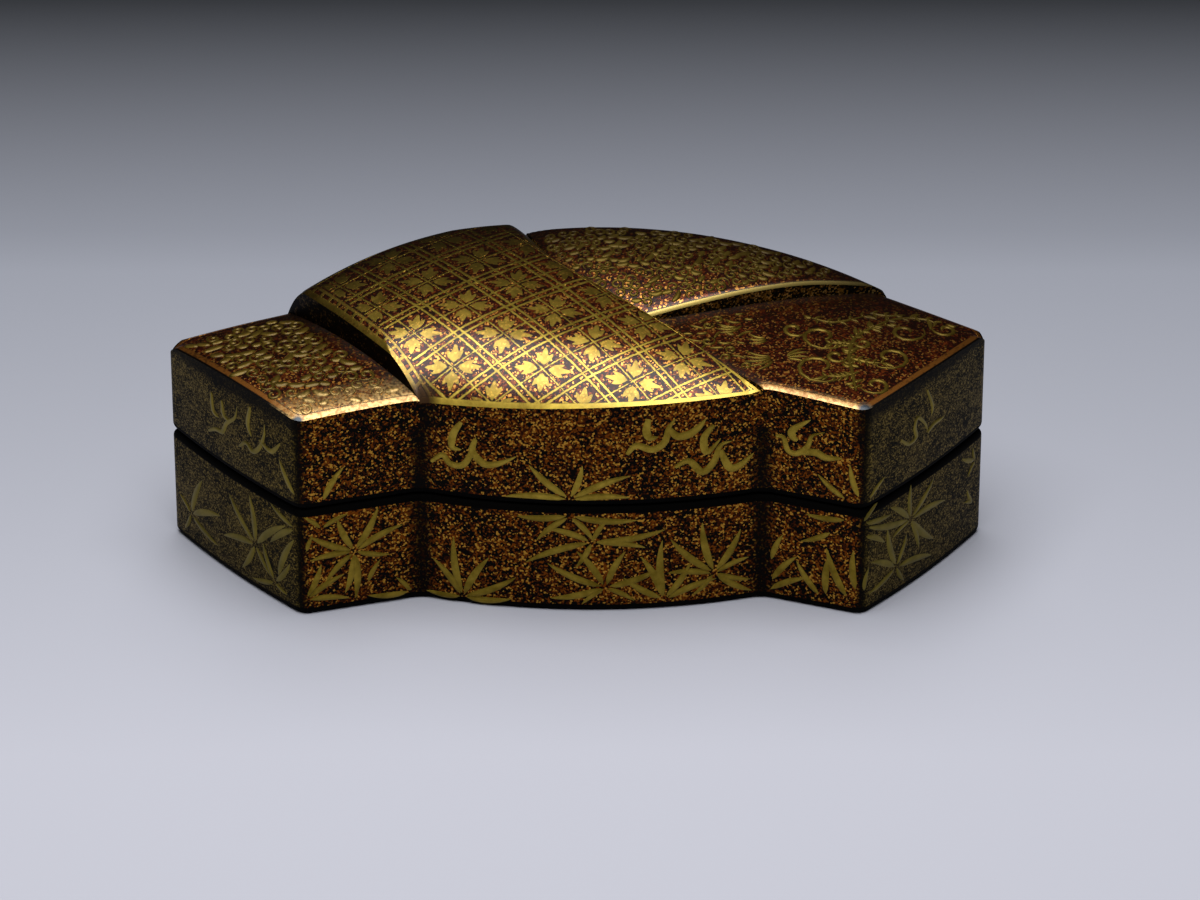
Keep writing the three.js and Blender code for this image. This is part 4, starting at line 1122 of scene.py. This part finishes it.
RIGHT_PITCH, RIGHT_NOOK_CLEAR, RIGHT_SIZE_SHARE = 1.70, 1.2, 0.80
RIGHT_CROWD_END = 20.0
CURL_SHARE, RIGHT_CURL_SHARE = 0.62, 0.25
LEAF_HALF, RIGHT_LEAF_HALF = 0.48, 0.24
LEFT_BACK_CLEAR, FOLD_BACK_CLEAR = 1.2, 1.6
SLOPE_STEP = 0.05
VIEW_TRIES, TRY_SHARE = 30, 0.6
scatter = np.random.default_rng(7)


def on_top(height):
    """Place on a top board from plan x and y, with a lift along its normal from small differences."""
    def place(flat, lift):
        x, y = flat[..., 0], flat[..., 1]
        z = height(x, y)
        slope_x = (height(x + SLOPE_STEP, y) - z) / SLOPE_STEP
        slope_y = (height(x, y + SLOPE_STEP) - z) / SLOPE_STEP
        normal = np.stack([-slope_x, -slope_y, np.ones_like(z)], -1)
        normal /= np.linalg.norm(normal, axis=-1, keepdims=True)
        spot = np.stack([x - PLAN_MIDDLE[0], y - PLAN_MIDDLE[1], z], -1)
        return spot + normal * np.broadcast_to(lift, z.shape)[..., None]
    return place


def top_spots(height, window, points):
    """Plan places where view rays meet a top board, found by stepping to its height again and again."""
    rays = view_rays(window, points)
    z = np.full(len(rays), LID_WALL_TOP)
    for _ in range(VIEW_TRIES):
        spot = VIEW_PLACE[:2] + PLAN_MIDDLE + rays[:, :2] * ((z - VIEW_PLACE[2]) / rays[:, 2])[:, None]
        z = z + TRY_SHARE * (height(spot[:, 0], spot[:, 1]) - z)
    return spot


def curl(centre, reach, start_turn, sense, turns, half):
    """Scroll that winds inwards: its radius falls steadily with the angle. Its width grows from a
    quarter over the first third, and falls as a square root near the end, which gives a round head."""
    t = np.linspace(0, 1, CURL_STEPS)
    angle = start_turn + sense * turns * 2 * math.pi * t
    radius = reach * (1 - CURL_WIND_SHARE * t)
    line = centre + np.c_[radius * np.cos(angle), radius * np.sin(angle)]
    width = half * (0.25 + 0.75 * np.minimum(1, t * 3)) * np.sqrt(np.minimum(1, (1.02 - t) * 5))
    return line, np.maximum(width, LEAF_LEAST)


def inside_of(outline, points):
    """Whether points lie inside a closed outline: an odd number of its sides lie to their right."""
    a, b = outline, np.roll(outline, -1, 0)
    x, y = points[:, :1], points[:, 1:]
    spans = (a[:, 1] > y) != (b[:, 1] > y)
    cross = a[:, 0] + (y - a[:, 1]) * (b[:, 0] - a[:, 0]) / (b[:, 1] - a[:, 1] + 1e-12)
    return (spans & (x < cross)).sum(1) % 2 == 1


def crowd(outline, rims, nooks, pitch, nook_clear, size=1.0, curl_share=CURL_SHARE,
          leaf_half=LEAF_HALF):
    """Curls and leaves on a jittered triangular grid inside an outline, clear of its rims and nooks.
    Four seeded numbers for each place pick its kind, its turn, its size and its bend."""
    low, high = outline.min(0), outline.max(0)
    strokes = []
    rows = int((high[1] - low[1]) / (pitch * ROW_SHARE)) + 2
    columns = int((high[0] - low[0]) / pitch) + 2
    r, c = np.meshgrid(np.arange(rows), np.arange(columns), indexing="ij")
    spots = np.c_[(low[0] + (c + 0.5 * (r % 2)) * pitch).ravel(),
                  (low[1] + r * pitch * ROW_SHARE).ravel()]
    spots += scatter.uniform(-JITTER, JITTER, spots.shape)
    gap = np.min([near_line(line, spots[:, 0], spots[:, 1])[0] - clear
                  for lines, clear in ((rims, RIM_CLEAR), (nooks, nook_clear)) for line in lines], axis=0)
    chance = scatter.uniform(0, 1, (len(spots), 4))
    keep = inside_of(outline, spots) & (gap > 0)
    for spot, (kind, turn, longer, bent) in zip(spots[keep], chance[keep]):
        turn = turn * 2 * math.pi
        if kind < BARE_SHARE:
            continue
        if kind < curl_share:
            strokes.append(curl(spot, CURL_REACH * size * (CURL_SMALL_SHARE + CURL_GROWTH_SHARE * longer),
                                turn, 1 if bent < 0.5 else -1, CURL_TURNS, CURL_HALF * size))
        else:
            angle = turn * LEAF_TURN_SHARE + LEAF_TURN_START
            way = np.array([math.cos(angle), math.sin(angle)])
            reach = (LEAF_SHORT + LEAF_GROWTH * longer) * size
            bend = np.array([-way[1], way[0]]) * reach * LEAF_ARCH_SHARE * (bent - 0.5)
            strokes.append(brush([spot - way * reach, spot + bend, spot + way * reach],
                                 leaf_half * size, LEAF_BLUNT_SHARE))
    return strokes


# Places in the enlarged right top: a stem's half width and points, a curl's centre, start and sense
# of turning, a leaf's root and tip, and a feather's.
VINE_STEMS = [(0.30, [(838, 478), (822, 400), (808, 330), (815, 270), (845, 228), (905, 196), (985, 178)]),
              (0.26, [(808, 330), (850, 338), (905, 350), (960, 352)]),
              (0.26, [(815, 270), (790, 262), (760, 262), (720, 262)]),
              (0.26, [(822, 400), (790, 408), (750, 412), (700, 410)]),
              (0.22, [(905, 196), (990, 160), (1080, 150), (1160, 160), (1200, 176)]),
              (0.20, [(640, 150), (720, 168), (800, 160), (880, 140)]),
              (0.20, [(900, 128), (980, 140), (1060, 136)])]
VINE_CURLS = [((684, 232), (790, 264), -1), ((672, 368), (806, 392), -1), ((990, 325), (900, 350), 1),
              ((925, 450), (852, 458), 1), ((1062, 212), (1140, 196), -1), ((1238, 202), (1178, 182), 1),
              ((868, 262), (838, 240), 1), ((560, 200), (625, 190), -1), ((748, 320), (800, 310), -1)]
VINE_LEAVES = [((812, 300), (858, 282)), ((812, 300), (772, 284)), ((812, 360), (852, 372)),
               ((815, 370), (772, 352)), ((830, 440), (872, 428)), ((830, 440), (786, 446)),
               ((845, 228), (838, 190)), ((905, 196), (900, 160)), ((905, 196), (950, 214)),
               ((960, 352), (1010, 372)), ((985, 178), (1022, 186)), ((700, 410), (640, 424)),
               ((1080, 150), (1120, 132)), ((1160, 160), (1170, 200)), ((720, 262), (690, 284)),
               ((880, 140), (930, 156)), ((640, 150), (600, 136)), ((1290, 190), (1240, 176))]
FAN_FEATHERS = [((452, 322), (336, 296)), ((452, 326), (330, 318)), ((454, 330), (334, 342)),
                ((458, 336), (356, 364)), ((462, 342), (392, 382)), ((526, 318), (606, 288)),
                ((528, 322), (628, 304)), ((530, 328), (626, 326)), ((532, 334), (604, 346)),
                ((430, 240), (352, 222)), ((432, 246), (346, 242)), ((434, 252), (356, 262)),
                ((300, 190), (212, 176)), ((302, 196), (208, 196)), ((304, 202), (222, 214))]
LEAFLET_EVERY, LEAFLET_LONG, LEAFLET_HALF, LEAFLET_TURN, LEAFLET_BEND_SHARE = 3, 1.0, 0.20, 0.95, 0.12
STEM_BLUNT_SHARE, VINE_CURL_TURNS, VINE_CURL_HALF = 0.1, 1.1, 0.27
VINE_LEAF_BEND_SHARE, VINE_LEAF_HALF = 0.08, 0.30
FEATHER_BEND_SHARE, FEATHER_HALF = 0.10, 0.21


def leaflets(line):
    """Small leaves in pairs along a stem, each turned away from its way on."""
    pairs = []
    for k in range(1, len(line) - 1, LEAFLET_EVERY):
        way = line[k + 1] - line[k - 1]
        angle = math.atan2(way[1], way[0])
        for turn in (-LEAFLET_TURN, LEAFLET_TURN):
            tip = line[k] + LEAFLET_LONG * np.array([math.cos(angle + turn), math.sin(angle + turn)])
            pairs.append(leaf(line[k], tip, LEAFLET_BEND_SHARE, LEAFLET_HALF))
    return pairs


def scrolls():
    """The right end's vines, from places read in the enlarged photograph."""
    def spots_of(*points):
        return top_spots(right_height, "right_top", points)

    strokes = [brush(spots_of(*points), half, STEM_BLUNT_SHARE) for half, points in VINE_STEMS]
    strokes += [pair for line, _ in strokes[:] for pair in leaflets(line)]
    for centre, start, sense in VINE_CURLS:
        spots = spots_of(centre, start)
        way = spots[1] - spots[0]
        strokes.append(curl(spots[0], np.linalg.norm(way), math.atan2(way[1], way[0]), sense,
                            VINE_CURL_TURNS, VINE_CURL_HALF))
    for pairs, bend_share, half in ((VINE_LEAVES, VINE_LEAF_BEND_SHARE, VINE_LEAF_HALF),
                                    (FAN_FEATHERS, FEATHER_BEND_SHARE, FEATHER_HALF)):
        strokes += [leaf(*spots_of(root, tip), bend_share, half) for root, tip in pairs]
    return strokes


LEFT_REGION = np.vstack([OUTLINE_SIDES[k][:-1] for k in (LEFT_BACK, LEFT_END, LEFT_FRONT)])
FOLD_BACK_LINE = back_side - np.array([0.0, FOLD_BACK_CLEAR])
FOLD_REGION = np.vstack([FOLD_EDGE[:-1], back_side[:peak_index], BAND_RIGHT[fold_start:][::-1][:-1]])
RIGHT_REGION = np.vstack([OUTLINE_SIDES[RIGHT_FRONT][:-1], OUTLINE_SIDES[RIGHT_END][:-1],
                          OUTLINE_SIDES[RIGHT_BACK], FOLD_EDGE[-2::-1], BAND_RIGHT[fold_start - 1:0:-1]])
LEFT_BACK_LINE = OUTLINE_SIDES[LEFT_BACK] - np.array([0.0, LEFT_BACK_CLEAR])
left_curls = crowd(LEFT_REGION, [LOOP, LEFT_BACK_LINE], [BAND_LEFT], LEFT_PITCH, LEFT_NOOK_CLEAR)
relief("left_end_curls", left_curls, on_top(left_height), brown_relief, "lid", TOP_RELIEF)
fold_curls = crowd(FOLD_REGION, [FOLD_EDGE, FOLD_BACK_LINE, back_side], [BAND_RIGHT], FOLD_PITCH,
                   FOLD_NOOK_CLEAR, FOLD_SIZE_SHARE)
relief("back_fold_curls", fold_curls, on_top(fold_height), olive_relief, "lid", TOP_RELIEF)
right_curls = crowd(RIGHT_REGION, [LOOP], [BAND_RIGHT, FOLD_EDGE], RIGHT_PITCH, RIGHT_NOOK_CLEAR,
                    RIGHT_SIZE_SHARE, RIGHT_CURL_SHARE, RIGHT_LEAF_HALF)
right_curls = [stroke for stroke in right_curls if stroke[0][:, 0].max() < RIGHT_CROWD_END]
relief("right_end_vines", scrolls() + right_curls, on_top(right_height), olive_relief, "lid", TOP_RELIEF)

# Table: backdrop paper, matt, pale in front and darkening behind the box, as in the photograph; the
# darkening is a painted shade where the light falls off.
TABLE_SIDE, TABLE_FRONT, TABLE_BACK = 900, -700, 1500
PALE_FROM, PALE_TO, DARK_FROM, DARK_TO = -45, 70, 60, 135


def table_surface(tree):
    """Grey paper that darkens with the distance y from the front, in two steps that overlap, as a painted
    shade.
    """
    where = node(tree, "TexCoord", out="Object")
    place = node(tree, "SeparateXYZ", where, out=1)
    near = node(tree, "MapRange", place, PALE_FROM * MM, PALE_TO * MM)
    far = node(tree, "MapRange", place, DARK_FROM * MM, DARK_TO * MM)
    paper = node(tree, "Mix", at={0: near, 6: "#b0b1bb", 7: "#868993"}, out=2, data_type="RGBA")
    paper = node(tree, "Mix", at={0: far, 6: paper, 7: "#1a1c1f"}, out=2, data_type="RGBA")
    return {"Base Color": paper, "Roughness": 0.7, "Specular IOR Level": 0.2}


table = put_mesh("table", [[-TABLE_SIDE, TABLE_FRONT, 0], [TABLE_SIDE, TABLE_FRONT, 0],
                           [TABLE_SIDE, TABLE_BACK, 0], [-TABLE_SIDE, TABLE_BACK, 0]], [[0, 1, 2, 3]],
                 (finish("backdrop_paper_with_painted_shade", table_surface),))

# Studio light: a large soft box above and a little in front, whose mirror image is the sheen on the
# band, a weak one behind that only fills and isn't mirrored in the gloss, and a dim bluish room.
# Each lamp is its name, its place and size in mm, its power in watts, and whether it is mirrored.
ROOM_LIGHT = 0.045
LAMPS = [("soft_box_above", (-25, -90, 595), 500, 5.25, True),
         ("soft_box_behind", (0, 290, 545), 320, 0.85, False)]
world = bpy.data.worlds.new("studio")
bpy.context.scene.world = world
world.use_nodes = True
world.node_tree.nodes["Background"].inputs["Color"].default_value = colour("#7d8694")
world.node_tree.nodes["Background"].inputs["Strength"].default_value = ROOM_LIGHT
for name, place, size, power, mirrored in LAMPS:
    data = bpy.data.lights.new(name, "AREA")
    data.shape, data.size, data.energy = "SQUARE", size * MM, power
    box = bpy.data.objects.new(name, data)
    bpy.context.scene.collection.objects.link(box)
    box.location = tuple(np.array(place) * MM)
    box.rotation_euler = (-mathutils.Vector(place)).to_track_quat("-Z", "Y").to_euler()
    box.visible_glossy = mirrored

bpy.context.scene.view_settings.view_transform = "Standard"
